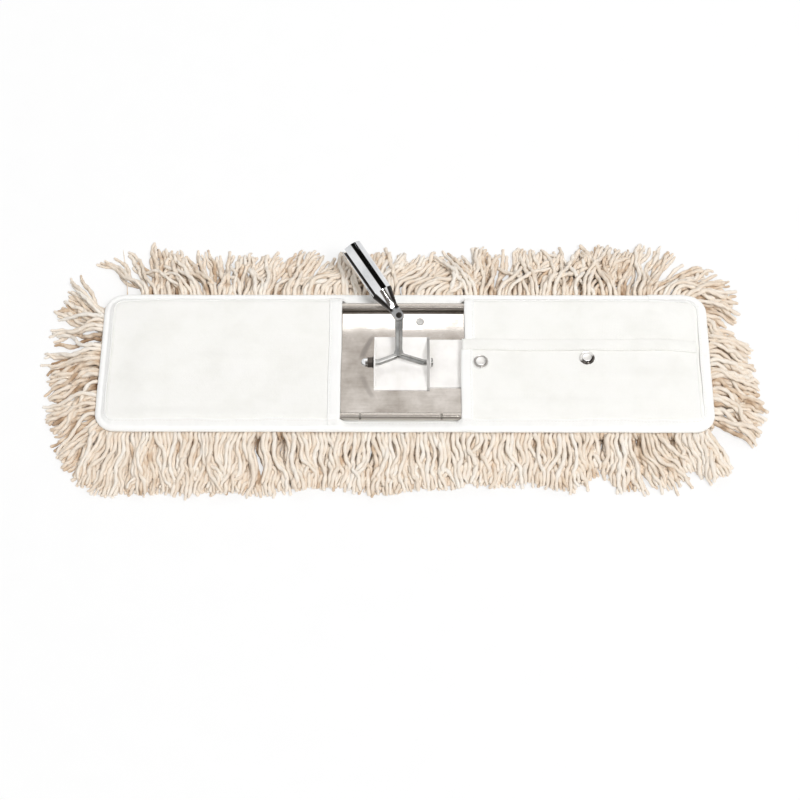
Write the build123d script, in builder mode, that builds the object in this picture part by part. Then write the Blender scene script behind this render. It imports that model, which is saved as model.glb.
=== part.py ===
import os
from math import atan2, cos, pi, radians, sin, tan

from build123d import *

# Cover: canvas, pockets and binding tape
COVER_LENGTH = 610.0
COVER_WIDTH = 155.0
COVER_CORNER_RADIUS = 20.0
CANVAS_THICKNESS = 1.2
POCKET_THICKNESS = 1.2
BINDING_THICKNESS = 1.2
BINDING_WIDTH = 6.0
SEAM_CLEARANCE = 0.2
POCKET_SLOPE = 15.0
POCKET_CLEARANCE = 0.3
LEFT_MOUTH_X = -64.5
RIGHT_MOUTH_X = 61.0
MOUTH_TAPE_WIDTH = 9.0
REAR_TAPE_WIDTH = 7.5
MOUTH_TAPE_THICKNESS = 0.8

# Flap of the right pocket
FLAP_MOUTH_X = 57.0
FLAP_END_INSET = 5.0
FLAP_FREE_EDGE_Y = 20.0
FLAP_HEM_WIDTH = 12.5
FLAP_HEM_THICKNESS = 1.0
FLAP_HINGE_INSET = 0.8
FLAP_SIDE_SEAM = 8.0
REAR_PANEL_EDGE_Y = -16.0

# Press studs
SNAP_POINTS = [(75.5, -6.0), (181.0, -1.5)]
SNAP_CAP_RADIUS = 7.0
SNAP_CAP_HEIGHT = 2.4
SNAP_CAP_ROUNDING = 1.8
SNAP_POST_RADIUS = 2.0
SNAP_SOCKET_RADIUS = 6.2
SNAP_SOCKET_HEIGHT = 1.4
SNAP_STUD_RADIUS = 3.0
SNAP_STUD_HEIGHT = 1.4
SNAP_SHANK_RADIUS = 1.6
SNAP_BACK_RADIUS = 6.0
SNAP_BACK_THICKNESS = 1.0
SNAP_CLEARANCE = 0.3
SNAP_GAP = 1.6

# Yarn pile and fringe
PILE_HEIGHT = 18.0
PILE_CHAMFER = 3.0
PILE_CORNER_RADIUS = 8.0
PILE_CLEARANCE = 1.5
HEADER_CLEARANCE = 0.2
FRINGE_HEADER = 15.0
LONG_SIDE_REACH = 60.0
SHORT_SIDE_REACH = 50.0
YARN_THICKNESS = 4.5
YARN_PITCH = 7.0
YARN_ROOT_WIDTH = 6.2
YARN_TIP_WIDTH = 4.0
YARN_LEAN = 3.0
YARN_LENGTH_WAVE = 4.0
YARN_LAYER_GAP = 0.4
YARN_FLOOR_CLEARANCE = 0.3
FAN_LENGTH = 45.0
FAN_ANGLE = 42.0
MITRE_GAP = 1.0

# Sheet-steel frame with rolled and wired long edges
FRAME_END_ROOM = 15.0
FRAME_SIDE_ROOM = 11.5
FRAME_OFFSET_X = -3.5
FRAME_OFFSET_Y = -0.5
FRAME_CORNER_RADIUS = 30.0
PLATE_GAUGE = 1.0
ROLL_DIAMETER = 8.0
ROLL_END_INSET = 32.0
ROLL_SEAM_GAP = 0.9
WIRE_CLEARANCE = 0.2
RELIEF_SPACING = 80.0
RELIEF_WIDTH = 2.0

# Swivel bracket
BRACKET_GAUGE = 1.5
BRACKET_LENGTH = 60.0
BRACKET_OFFSET_Y = -2.0
EAR_GAP = 51.0
EAR_BASE_LENGTH = 56.0
EAR_RADIUS = 7.0
TONGUE_LENGTH = 90.0
TONGUE_WIDTH = 54.0
TONGUE_CORNER_RADIUS = 8.0
TONGUE_RIVET_X = 45.0
TONGUE_RIVET_SPACING = 32.0
PLATE_RIVET_X = 18.8
PLATE_RIVET_INSET = 15.5
RIVET_SHANK_RADIUS = 2.0
RIVET_HEAD_RADIUS = 4.0
RIVET_HEAD_HEIGHT = 1.8
RIVET_HEAD_ROUNDING = 1.4
RIVET_CLEARANCE = 0.05

# Yoke: arched cross bar, round stem and flat eye
AXLE_HEIGHT = 9.8
AXLE_OFFSET_Y = -3.5
REST_LEAN = 73.0
ARM_RADIUS = 3.0
ARM_STRAIGHT = 3.5
ARCH_HEIGHT = 7.5
ARCH_ROUNDING = 9.0
STEM_OFFSET_X = -2.3
STEM_LENGTH = 47.0
STEM_RADIUS = 3.6
COLLAR_RADIUS = 6.0
COLLAR_HEIGHT = 7.0
EYE_RADIUS = 5.0
EYE_THICKNESS = 5.0
EYE_NECK_WIDTH = 8.0
EYE_NECK_LENGTH = 12.0
PIVOT_CLEARANCE = 0.08
SIDE_CLEARANCE = 0.3
WASHER_RADIUS = 6.0
WASHER_THICKNESS = 1.0
PEENED_HEAD_RADIUS = 4.6
PEENED_HEAD_LENGTH = 2.0
PEENED_HEAD_ROUNDING = 1.2
NUT_ACROSS_FLATS = 10.0
NUT_HEX_LENGTH = 5.0
NUT_DOME_RADIUS = 4.4
NUT_DOME_STRAIGHT = 2.2
NUT_THREAD_DEPTH = 6.0
NUT_CLEARANCE = 0.02

# Handle socket, rolled with an open seam, its forked end and its rivet
REST_SWING = 34.5
SOCKET_REACH = 86.0
SOCKET_BORE_RADIUS = 9.8
SOCKET_WALL = 1.2
SOCKET_NECK_START = 10.0
SOCKET_NECK_END = 30.0
FORK_WIDTH = 9.6
FORK_EAR_THICKNESS = 1.8
FORK_THROAT = 8.0
FORK_CORNER_RADIUS = 1.2
NECK_FLOOR = 2.0
SOCKET_SEAM_WIDTH = 5.0
SOCKET_SEAM_ANGLE = 55.0
SWING_RIVET_RADIUS = 2.0
SWING_RIVET_CLEARANCE = 0.05
SWING_HEAD_RADIUS = 3.0
SWING_HEAD_HEIGHT = 1.6
SWING_HEAD_ROUNDING = 1.2

# Heights, from the floor up
canvas_bottom = PILE_HEIGHT
canvas_top = canvas_bottom + CANVAS_THICKNESS
plate_top = canvas_top + PLATE_GAUGE
roll_radius = ROLL_DIAMETER / 2
roll_z = canvas_top + roll_radius
pocket_inner_top = canvas_top + ROLL_DIAMETER + POCKET_CLEARANCE
pocket_top = pocket_inner_top + POCKET_THICKNESS
flap_bottom = pocket_top + SNAP_GAP
flap_top = flap_bottom + POCKET_THICKNESS
seam_top = canvas_top + POCKET_THICKNESS
binding_bottom = canvas_bottom - BINDING_THICKNESS
binding_top = seam_top + BINDING_THICKNESS

# Plan sizes of the cover
half_length = COVER_LENGTH / 2
half_width = COVER_WIDTH / 2
canvas_length = COVER_LENGTH - 2 * BINDING_THICKNESS
canvas_width = COVER_WIDTH - 2 * BINDING_THICKNESS
canvas_corner = COVER_CORNER_RADIUS - BINDING_THICKNESS
tray_inset = BINDING_WIDTH + SEAM_CLEARANCE
tray_length = COVER_LENGTH - 2 * tray_inset
tray_width = COVER_WIDTH - 2 * tray_inset
tray_corner = COVER_CORNER_RADIUS - tray_inset
tray_rise = pocket_top - canvas_top
tray_top_inset = tray_rise * tan(radians(POCKET_SLOPE))
tray_top_half_length = tray_length / 2 - tray_top_inset
tray_top_half_width = tray_width / 2 - tray_top_inset
flap_end_x = tray_top_half_length - FLAP_END_INSET
flap_hinge_y = -tray_top_half_width + FLAP_HINGE_INSET
flap_hinge_z = flap_bottom + POCKET_THICKNESS / 2

# Frame, bracket and swivel points
frame_length = COVER_LENGTH - 2 * FRAME_END_ROOM
frame_width = COVER_WIDTH - 2 * FRAME_SIDE_ROOM
roll_offset = frame_width / 2 - roll_radius
front_roll_y = FRAME_OFFSET_Y - roll_offset
rear_roll_y = FRAME_OFFSET_Y + roll_offset
roll_length = frame_length - 2 * ROLL_END_INSET
roll_start_x = FRAME_OFFSET_X - roll_length / 2
wire_radius = roll_radius - PLATE_GAUGE - WIRE_CLEARANCE
bracket_y = FRAME_OFFSET_Y + BRACKET_OFFSET_Y
bracket_top = plate_top + BRACKET_GAUGE
left_ear_inner = -EAR_GAP / 2
left_ear_outer = left_ear_inner - BRACKET_GAUGE
right_ear_inner = EAR_GAP / 2
right_ear_outer = right_ear_inner + 2 * BRACKET_GAUGE
axle_y = bracket_y + AXLE_OFFSET_Y
axle_z = plate_top + AXLE_HEIGHT
tongue_start_x = FRAME_OFFSET_X + right_ear_outer

lean_sin = sin(radians(REST_LEAN))
lean_cos = cos(radians(REST_LEAN))
swing_sin = sin(radians(REST_SWING))
swing_cos = cos(radians(REST_SWING))
yoke_up = Vector(0, lean_sin, lean_cos)
yoke_normal = Vector(0, -lean_cos, lean_sin)
axle_centre = Vector(FRAME_OFFSET_X, axle_y, axle_z)
stem_foot = axle_centre + Vector(STEM_OFFSET_X, 0, 0)
swing_centre = stem_foot + yoke_up * STEM_LENGTH
socket_axis = Vector(-swing_sin, swing_cos * lean_sin, swing_cos * lean_cos)
socket_side = Vector(swing_cos, swing_sin * lean_sin, swing_sin * lean_cos)
yoke_plane = Plane(origin=axle_centre, x_dir=(1, 0, 0), z_dir=yoke_normal)
socket_plane = Plane(origin=swing_centre, x_dir=socket_side, z_dir=socket_axis)
fork_plane = Plane(origin=swing_centre, x_dir=socket_side, z_dir=yoke_normal)
fork_slot = EYE_THICKNESS + 2 * SIDE_CLEARANCE
fork_depth = fork_slot + 2 * FORK_EAR_THICKNESS
socket_radius = SOCKET_BORE_RADIUS + SOCKET_WALL
bore_length = SOCKET_REACH - SOCKET_NECK_END


def comb_edge(distance, side_length):
    """Point at a distance along one side of the cover's edge, round its corners."""
    straight = side_length / 2 - COVER_CORNER_RADIUS
    turn = max(abs(distance) - straight, 0.0) / COVER_CORNER_RADIUS
    along = min(abs(distance), straight) + COVER_CORNER_RADIUS * sin(turn)
    sign = 1 if distance >= 0 else -1
    return (sign * along, -COVER_CORNER_RADIUS * (1 - cos(turn)))


def yarn_corners(side_length, reach, phase):
    """Outline of one layer of yarn ends: a header strip with a finger for each end."""
    straight = side_length / 2 - COVER_CORNER_RADIUS
    corner_end = straight + COVER_CORNER_RADIUS * pi / 4
    last = corner_end - YARN_ROOT_WIDTH / 2 - 2 * MITRE_GAP
    count = int(2 * last / YARN_PITCH)
    pitch = 2 * last / count
    header_end = side_length / 2 - FRINGE_HEADER - 2 * MITRE_GAP
    corners = [(-header_end, -FRINGE_HEADER), comb_edge(MITRE_GAP - corner_end, side_length)]
    for index in range(count + 1):
        place = index * pitch - last
        fan_share = max(abs(place) - last + FAN_LENGTH, 0.0) / FAN_LENGTH
        angle = radians(FAN_ANGLE) * fan_share * (1 if place >= 0 else -1)
        wave = 0.7 * sin(2 * pi * place / 83 + phase) + 0.3 * sin(2 * pi * place / 37 + 2 * phase)
        angle += YARN_LEAN / reach * wave * (1 - fan_share)
        length = reach + YARN_LENGTH_WAVE * sin(2 * pi * place / 61 + 1.7 * phase)
        root_x, root_y = comb_edge(place, side_length)
        tip_x = root_x + length * sin(angle)
        tip_y = root_y + length * cos(angle)
        side_x = YARN_TIP_WIDTH / 2 * cos(angle)
        side_y = YARN_TIP_WIDTH / 2 * sin(angle)
        corners.append(comb_edge(place - YARN_ROOT_WIDTH / 2, side_length))
        corners.append((tip_x - side_x, tip_y + side_y))
        corners.append((tip_x + side_x, tip_y - side_y))
        corners.append(comb_edge(place + YARN_ROOT_WIDTH / 2, side_length))
    corners.append(comb_edge(corner_end - MITRE_GAP, side_length))
    corners.append((header_end, -FRINGE_HEADER))
    return corners


def yarn_fringe(side_length, edge_distance, reach, outward):
    """Two sloping layers of yarn ends on one header strip, facing the outward direction."""
    root_top = binding_bottom - HEADER_CLEARANCE
    layer_step = YARN_THICKNESS + YARN_LAYER_GAP
    tip_top = YARN_FLOOR_CLEARANCE + YARN_THICKNESS + layer_step
    fall = (root_top - tip_top) / (FRINGE_HEADER + reach)
    edge_top = root_top - fall * FRINGE_HEADER
    slope = atan2(fall, 1)
    along = (-outward[1], outward[0], 0)
    down = (-outward[0] * sin(slope), -outward[1] * sin(slope), -cos(slope))
    edge_point = (outward[0] * edge_distance, outward[1] * edge_distance, edge_top)
    top_plane = Plane(origin=edge_point, x_dir=along, z_dir=down)
    with BuildPart() as fringe:
        with BuildSketch(top_plane):
            with BuildLine():
                Polyline(*yarn_corners(side_length, reach, 0.4), close=True)
            make_face()
        extrude(amount=YARN_THICKNESS)
        with BuildSketch(top_plane.offset(layer_step)):
            with BuildLine():
                Polyline(*yarn_corners(side_length, reach - 5, 2.3), close=True)
            make_face()
        extrude(amount=YARN_THICKNESS)
        header_length = side_length - 4 * FRINGE_HEADER
        with BuildSketch(top_plane.offset(YARN_THICKNESS / 2)):
            with Locations((0, -FRINGE_HEADER / 2)):
                Rectangle(header_length, FRINGE_HEADER / 2)
        extrude(amount=layer_step)
    return fringe.part


def pocket_tray():
    """Cloth tray over the frame, with a flat seam all round and an open underside."""
    with BuildPart() as tray:
        with BuildSketch(Plane.XY.offset(canvas_top)):
            RectangleRounded(canvas_length, canvas_width, canvas_corner)
        extrude(amount=POCKET_THICKNESS)
        with BuildSketch(Plane.XY.offset(canvas_top)):
            RectangleRounded(tray_length, tray_width, tray_corner)
        extrude(amount=tray_rise, taper=POCKET_SLOPE)
        with BuildSketch(Plane.XY.offset(canvas_top)):
            RectangleRounded(
                tray_length - 2 * POCKET_THICKNESS,
                tray_width - 2 * POCKET_THICKNESS,
                tray_corner - POCKET_THICKNESS,
            )
        extrude(amount=pocket_inner_top - canvas_top, taper=POCKET_SLOPE, mode=Mode.SUBTRACT)
    return tray.part


# Canvas backing that carries the yarn
with BuildPart() as canvas_backing:
    with BuildSketch(Plane.XY.offset(canvas_bottom)):
        RectangleRounded(canvas_length, canvas_width, canvas_corner)
    extrude(amount=CANVAS_THICKNESS)

# Yarn pile: the flat working face under the canvas
with BuildPart() as yarn_pile:
    with BuildSketch():
        RectangleRounded(
            COVER_LENGTH - 2 * (FRINGE_HEADER + PILE_CLEARANCE),
            COVER_WIDTH - 2 * (FRINGE_HEADER + PILE_CLEARANCE),
            PILE_CORNER_RADIUS,
        )
    extrude(amount=PILE_HEIGHT)
    chamfer(yarn_pile.faces().sort_by(Axis.Z)[0].edges(), PILE_CHAMFER)

# Yarn ends that stand out all round
with BuildPart() as front_fringe:
    add(yarn_fringe(COVER_LENGTH, half_width, LONG_SIDE_REACH, (0, -1)))

with BuildPart() as rear_fringe:
    add(yarn_fringe(COVER_LENGTH, half_width, LONG_SIDE_REACH, (0, 1)))

with BuildPart() as left_fringe:
    add(yarn_fringe(COVER_WIDTH, half_length, SHORT_SIDE_REACH, (-1, 0)))

with BuildPart() as right_fringe:
    add(yarn_fringe(COVER_WIDTH, half_length, SHORT_SIDE_REACH, (1, 0)))

# Binding tape folded over the cover's edge
with BuildPart() as edge_binding:
    with BuildSketch(Plane.XY.offset(binding_bottom)):
        RectangleRounded(COVER_LENGTH, COVER_WIDTH, COVER_CORNER_RADIUS)
        RectangleRounded(
            COVER_LENGTH - 2 * BINDING_WIDTH,
            COVER_WIDTH - 2 * BINDING_WIDTH,
            COVER_CORNER_RADIUS - BINDING_WIDTH,
            mode=Mode.SUBTRACT,
        )
    extrude(amount=binding_top - binding_bottom)
    with BuildSketch(Plane.XY.offset(canvas_bottom)):
        RectangleRounded(canvas_length, canvas_width, canvas_corner)
    extrude(amount=seam_top - canvas_bottom, mode=Mode.SUBTRACT)

# Left pocket, open at its mouth towards the swivel
with BuildPart() as left_pocket:
    add(pocket_tray())
    split(bisect_by=Plane(origin=(LEFT_MOUTH_X, 0, 0), z_dir=(-1, 0, 0)), keep=Keep.TOP)

with BuildPart() as left_mouth_tape:
    with BuildSketch(Plane.XY.offset(pocket_top)):
        with Locations((LEFT_MOUTH_X, 0)):
            Rectangle(
                MOUTH_TAPE_WIDTH,
                2 * (tray_top_half_width - MOUTH_TAPE_THICKNESS),
                align=(Align.MAX, Align.CENTER),
            )
    extrude(amount=MOUTH_TAPE_THICKNESS)
    with BuildSketch(Plane.XY.offset(pocket_inner_top)):
        with Locations((LEFT_MOUTH_X, 0)):
            Rectangle(
                MOUTH_TAPE_THICKNESS,
                2 * (tray_top_half_width - MOUTH_TAPE_THICKNESS),
                align=(Align.MIN, Align.CENTER),
            )
    extrude(amount=POCKET_THICKNESS + MOUTH_TAPE_THICKNESS)

# Right pocket: rear panel and sewn sides, with the front left open for the flap
with BuildPart() as right_pocket:
    add(pocket_tray())
    split(bisect_by=Plane(origin=(RIGHT_MOUTH_X, 0, 0), z_dir=(1, 0, 0)), keep=Keep.TOP)
    window_front_y = -tray_top_half_width + POCKET_THICKNESS
    window_end_x = flap_end_x - FLAP_SIDE_SEAM
    with BuildSketch(Plane.XY.offset(pocket_inner_top)):
        with Locations((window_end_x, window_front_y)):
            Rectangle(
                window_end_x - FLAP_MOUTH_X,
                REAR_PANEL_EDGE_Y - window_front_y,
                align=(Align.MAX, Align.MIN),
            )
    extrude(amount=POCKET_THICKNESS, mode=Mode.SUBTRACT)
    with Locations(*[(x, y, pocket_inner_top) for x, y in SNAP_POINTS]):
        Cylinder(
            SNAP_SHANK_RADIUS,
            2 * POCKET_THICKNESS,
            mode=Mode.SUBTRACT,
        )

with BuildPart() as right_mouth_tape:
    tape_length = tray_top_half_width - MOUTH_TAPE_THICKNESS - REAR_PANEL_EDGE_Y
    with BuildSketch(Plane.XY.offset(pocket_top)):
        with Locations((RIGHT_MOUTH_X, REAR_PANEL_EDGE_Y)):
            Rectangle(REAR_TAPE_WIDTH, tape_length, align=(Align.MIN, Align.MIN))
    extrude(amount=MOUTH_TAPE_THICKNESS)
    with BuildSketch(Plane.XY.offset(pocket_inner_top)):
        with Locations((RIGHT_MOUTH_X, REAR_PANEL_EDGE_Y)):
            Rectangle(MOUTH_TAPE_THICKNESS, tape_length, align=(Align.MAX, Align.MIN))
    extrude(amount=POCKET_THICKNESS + MOUTH_TAPE_THICKNESS)

# Flap with a rounded fold at the front and a doubled hem on its free edge
with BuildPart() as pocket_flap:
    with BuildSketch(Plane.YZ.offset(FLAP_MOUTH_X)):
        with Locations((flap_hinge_y, flap_hinge_z)):
            Circle(POCKET_THICKNESS / 2)
            Rectangle(
                FLAP_FREE_EDGE_Y - flap_hinge_y,
                POCKET_THICKNESS,
                align=(Align.MIN, Align.CENTER),
            )
        with Locations((FLAP_FREE_EDGE_Y, flap_top)):
            Rectangle(FLAP_HEM_WIDTH, FLAP_HEM_THICKNESS, align=(Align.MAX, Align.MIN))
    extrude(amount=flap_end_x - FLAP_MOUTH_X)
    with Locations(*[(x, y, flap_hinge_z) for x, y in SNAP_POINTS]):
        Cylinder(SNAP_POST_RADIUS, 2 * POCKET_THICKNESS, mode=Mode.SUBTRACT)

with BuildPart() as flap_mouth_tape:
    flap_tape_length = FLAP_FREE_EDGE_Y - FLAP_HEM_WIDTH - flap_hinge_y
    with BuildSketch(Plane.XY.offset(flap_top)):
        with Locations((FLAP_MOUTH_X, flap_hinge_y)):
            Rectangle(MOUTH_TAPE_WIDTH, flap_tape_length, align=(Align.MIN, Align.MIN))
    extrude(amount=MOUTH_TAPE_THICKNESS)
    with BuildSketch(Plane.XY.offset(flap_bottom)):
        with Locations((FLAP_MOUTH_X, flap_hinge_y)):
            Rectangle(MOUTH_TAPE_THICKNESS, flap_tape_length, align=(Align.MAX, Align.MIN))
    extrude(amount=POCKET_THICKNESS + MOUTH_TAPE_THICKNESS)

# Press studs: cap and socket on the flap, stud and back on the rear panel
with BuildPart() as snap_caps:
    with Locations(*[(x, y, flap_top) for x, y in SNAP_POINTS]):
        Cylinder(
            SNAP_CAP_RADIUS,
            SNAP_CAP_HEIGHT,
            align=(Align.CENTER, Align.CENTER, Align.MIN),
        )
    fillet(snap_caps.edges().group_by(Axis.Z)[-1], SNAP_CAP_ROUNDING)
    with Locations(*[(x, y, flap_bottom) for x, y in SNAP_POINTS]):
        Cylinder(
            SNAP_POST_RADIUS,
            POCKET_THICKNESS,
            align=(Align.CENTER, Align.CENTER, Align.MIN),
        )

with BuildPart() as snap_sockets:
    with BuildSketch(Plane.XY.offset(flap_bottom)):
        with Locations(*SNAP_POINTS):
            Circle(SNAP_SOCKET_RADIUS)
            Circle(SNAP_STUD_RADIUS + SNAP_CLEARANCE, mode=Mode.SUBTRACT)
    extrude(amount=-SNAP_SOCKET_HEIGHT)

with BuildPart() as snap_studs:
    with BuildSketch(Plane.XY.offset(pocket_top)):
        with Locations(*SNAP_POINTS):
            Circle(SNAP_STUD_RADIUS)
    extrude(amount=SNAP_STUD_HEIGHT)
    with BuildSketch(Plane.XY.offset(pocket_top)):
        with Locations(*SNAP_POINTS):
            Circle(SNAP_SHANK_RADIUS)
    extrude(amount=-(POCKET_THICKNESS + SNAP_BACK_THICKNESS))

with BuildPart() as snap_backs:
    with BuildSketch(Plane.XY.offset(pocket_inner_top)):
        with Locations(*SNAP_POINTS):
            Circle(SNAP_BACK_RADIUS)
            Circle(SNAP_SHANK_RADIUS, mode=Mode.SUBTRACT)
    extrude(amount=-SNAP_BACK_THICKNESS)

# Frame plate with a roll along each long edge; the front roll is slotted either side of the swivel
tongue_rivet_points = [
    (tongue_start_x + TONGUE_RIVET_X, bracket_y - TONGUE_RIVET_SPACING / 2),
    (tongue_start_x + TONGUE_RIVET_X, bracket_y + TONGUE_RIVET_SPACING / 2),
]
plate_rivet_point = (FRAME_OFFSET_X + PLATE_RIVET_X, rear_roll_y - PLATE_RIVET_INSET)

with BuildPart() as frame_plate:
    with BuildSketch(Plane.XY.offset(canvas_top)):
        with Locations((FRAME_OFFSET_X, FRAME_OFFSET_Y)):
            RectangleRounded(frame_length, 2 * roll_offset, FRAME_CORNER_RADIUS)
        with Locations(plate_rivet_point, *tongue_rivet_points):
            Circle(RIVET_SHANK_RADIUS + RIVET_CLEARANCE, mode=Mode.SUBTRACT)
    extrude(amount=PLATE_GAUGE)
    with BuildSketch(Plane.YZ.offset(roll_start_x)):
        with Locations((front_roll_y, roll_z), (rear_roll_y, roll_z)):
            Circle(roll_radius)
            Circle(roll_radius - PLATE_GAUGE, mode=Mode.SUBTRACT)
        with Locations((front_roll_y, plate_top)):
            Rectangle(
                roll_radius,
                ROLL_SEAM_GAP,
                align=(Align.MIN, Align.MIN),
                mode=Mode.SUBTRACT,
            )
        with Locations((rear_roll_y, plate_top)):
            Rectangle(
                roll_radius,
                ROLL_SEAM_GAP,
                align=(Align.MAX, Align.MIN),
                mode=Mode.SUBTRACT,
            )
    extrude(amount=roll_length)
    with Locations(
        (FRAME_OFFSET_X - RELIEF_SPACING / 2, front_roll_y, roll_z),
        (FRAME_OFFSET_X + RELIEF_SPACING / 2, front_roll_y, roll_z),
    ):
        Box(
            RELIEF_WIDTH,
            2 * ROLL_DIAMETER,
            ROLL_DIAMETER,
            align=(Align.CENTER, Align.CENTER, Align.MIN),
            mode=Mode.SUBTRACT,
        )

# Wires inside the rolls
with BuildPart() as front_edge_wire:
    with BuildSketch(Plane.YZ.offset(roll_start_x)):
        with Locations((front_roll_y, roll_z)):
            Circle(wire_radius)
    extrude(amount=roll_length)

with BuildPart() as rear_edge_wire:
    with BuildSketch(Plane.YZ.offset(roll_start_x)):
        with Locations((rear_roll_y, roll_z)):
            Circle(wire_radius)
    extrude(amount=roll_length)

# Swivel bracket: base, left ear, doubled right ear and tongue in one strip
with BuildPart() as swivel_bracket:
    with BuildSketch(Plane.XY.offset(plate_top)):
        with Locations((FRAME_OFFSET_X + left_ear_outer, bracket_y)):
            Rectangle(
                right_ear_outer - left_ear_outer,
                BRACKET_LENGTH,
                align=(Align.MIN, Align.CENTER),
            )
    extrude(amount=BRACKET_GAUGE)
    with BuildSketch(Plane.XY.offset(plate_top)):
        with Locations((tongue_start_x - TONGUE_CORNER_RADIUS, bracket_y)):
            RectangleRounded(
                TONGUE_LENGTH + TONGUE_CORNER_RADIUS,
                TONGUE_WIDTH,
                TONGUE_CORNER_RADIUS,
                align=(Align.MIN, Align.CENTER),
            )
        with Locations(*tongue_rivet_points):
            Circle(RIVET_SHANK_RADIUS + RIVET_CLEARANCE, mode=Mode.SUBTRACT)
    extrude(amount=BRACKET_GAUGE)
    with BuildSketch(Plane.YZ.offset(FRAME_OFFSET_X + left_ear_outer)):
        with Locations((axle_y, axle_z)):
            Circle(EAR_RADIUS)
        with Locations((bracket_y, plate_top)):
            Rectangle(EAR_BASE_LENGTH, BRACKET_GAUGE, align=(Align.CENTER, Align.MIN))
        make_hull()
    extrude(amount=BRACKET_GAUGE)
    with BuildSketch(Plane.YZ.offset(FRAME_OFFSET_X + right_ear_inner)):
        with Locations((axle_y, axle_z)):
            Circle(EAR_RADIUS)
        with Locations((bracket_y, plate_top)):
            Rectangle(EAR_BASE_LENGTH, BRACKET_GAUGE, align=(Align.CENTER, Align.MIN))
        make_hull()
    extrude(amount=2 * BRACKET_GAUGE)
    with BuildSketch(Plane.YZ.offset(FRAME_OFFSET_X)):
        with Locations((axle_y, axle_z)):
            Circle(ARM_RADIUS + PIVOT_CLEARANCE)
    extrude(amount=EAR_GAP, both=True, mode=Mode.SUBTRACT)

# Rivets: two through the tongue, one through the plate behind the bracket
with BuildPart() as tongue_rivets:
    with Locations(*[(x, y, bracket_top) for x, y in tongue_rivet_points]):
        Cylinder(
            RIVET_HEAD_RADIUS,
            RIVET_HEAD_HEIGHT,
            align=(Align.CENTER, Align.CENTER, Align.MIN),
        )
    fillet(tongue_rivets.edges().group_by(Axis.Z)[-1], RIVET_HEAD_ROUNDING)
    with Locations(*[(x, y, canvas_top) for x, y in tongue_rivet_points]):
        Cylinder(
            RIVET_SHANK_RADIUS,
            bracket_top - canvas_top,
            align=(Align.CENTER, Align.CENTER, Align.MIN),
        )

with BuildPart() as plate_rivet:
    with Locations((plate_rivet_point[0], plate_rivet_point[1], plate_top)):
        Cylinder(
            RIVET_HEAD_RADIUS,
            RIVET_HEAD_HEIGHT,
            align=(Align.CENTER, Align.CENTER, Align.MIN),
        )
    fillet(plate_rivet.edges().group_by(Axis.Z)[-1], RIVET_HEAD_ROUNDING)
    with Locations((plate_rivet_point[0], plate_rivet_point[1], canvas_top)):
        Cylinder(
            RIVET_SHANK_RADIUS,
            PLATE_GAUGE,
            align=(Align.CENTER, Align.CENTER, Align.MIN),
        )

# Yoke: arched bar with straight ends in the ears, round stem and flat eye
left_washer_outer = left_ear_outer - SIDE_CLEARANCE - WASHER_THICKNESS
right_washer_outer = right_ear_outer + SIDE_CLEARANCE + WASHER_THICKNESS
arm_end_x = left_washer_outer - NUT_THREAD_DEPTH

with BuildPart() as yoke:
    with BuildLine(yoke_plane) as cross_bar:
        FilletPolyline(
            (arm_end_x, 0),
            (left_ear_inner + ARM_STRAIGHT, 0),
            (STEM_OFFSET_X, ARCH_HEIGHT),
            (right_ear_inner - ARM_STRAIGHT, 0),
            (right_washer_outer, 0),
            radius=ARCH_ROUNDING,
        )
    with BuildSketch(Plane(origin=cross_bar.line @ 0, z_dir=cross_bar.line % 0)):
        Circle(ARM_RADIUS)
    sweep()
    with BuildSketch(Plane(origin=cross_bar.line @ 1, z_dir=cross_bar.line % 1)):
        Circle(PEENED_HEAD_RADIUS)
    extrude(amount=PEENED_HEAD_LENGTH)
    fillet(yoke.edges().group_by(Axis.X)[-1], PEENED_HEAD_ROUNDING)
    arch_top = stem_foot + yoke_up * (ARCH_HEIGHT - ARM_RADIUS / 2)
    with BuildSketch(Plane(origin=arch_top, x_dir=(1, 0, 0), z_dir=yoke_up)):
        Circle(STEM_RADIUS)
    extrude(amount=STEM_LENGTH - EYE_RADIUS - ARCH_HEIGHT)
    collar_plane = Plane(origin=arch_top, x_dir=(1, 0, 0), z_dir=yoke_up)
    with BuildSketch(collar_plane):
        Ellipse(COLLAR_RADIUS, ARM_RADIUS)
    with BuildSketch(collar_plane.offset(COLLAR_HEIGHT)):
        Circle(STEM_RADIUS)
    loft()
    with BuildSketch(yoke_plane):
        with Locations((STEM_OFFSET_X, STEM_LENGTH)):
            Circle(EYE_RADIUS)
            Rectangle(EYE_NECK_WIDTH, EYE_NECK_LENGTH, align=(Align.CENTER, Align.MAX))
    extrude(amount=EYE_THICKNESS / 2, both=True)
    with BuildSketch(yoke_plane):
        with Locations((STEM_OFFSET_X, STEM_LENGTH)):
            Circle(SWING_RIVET_RADIUS + SWING_RIVET_CLEARANCE)
    extrude(amount=EYE_THICKNESS, both=True, mode=Mode.SUBTRACT)

with BuildPart() as left_pivot_washer:
    with BuildSketch(Plane.YZ.offset(FRAME_OFFSET_X + left_washer_outer)):
        with Locations((axle_y, axle_z)):
            Circle(WASHER_RADIUS)
            Circle(ARM_RADIUS + PIVOT_CLEARANCE, mode=Mode.SUBTRACT)
    extrude(amount=WASHER_THICKNESS)

with BuildPart() as right_pivot_washer:
    with BuildSketch(Plane.YZ.offset(FRAME_OFFSET_X + right_ear_outer + SIDE_CLEARANCE)):
        with Locations((axle_y, axle_z)):
            Circle(WASHER_RADIUS)
            Circle(ARM_RADIUS + PIVOT_CLEARANCE, mode=Mode.SUBTRACT)
    extrude(amount=WASHER_THICKNESS)

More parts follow.
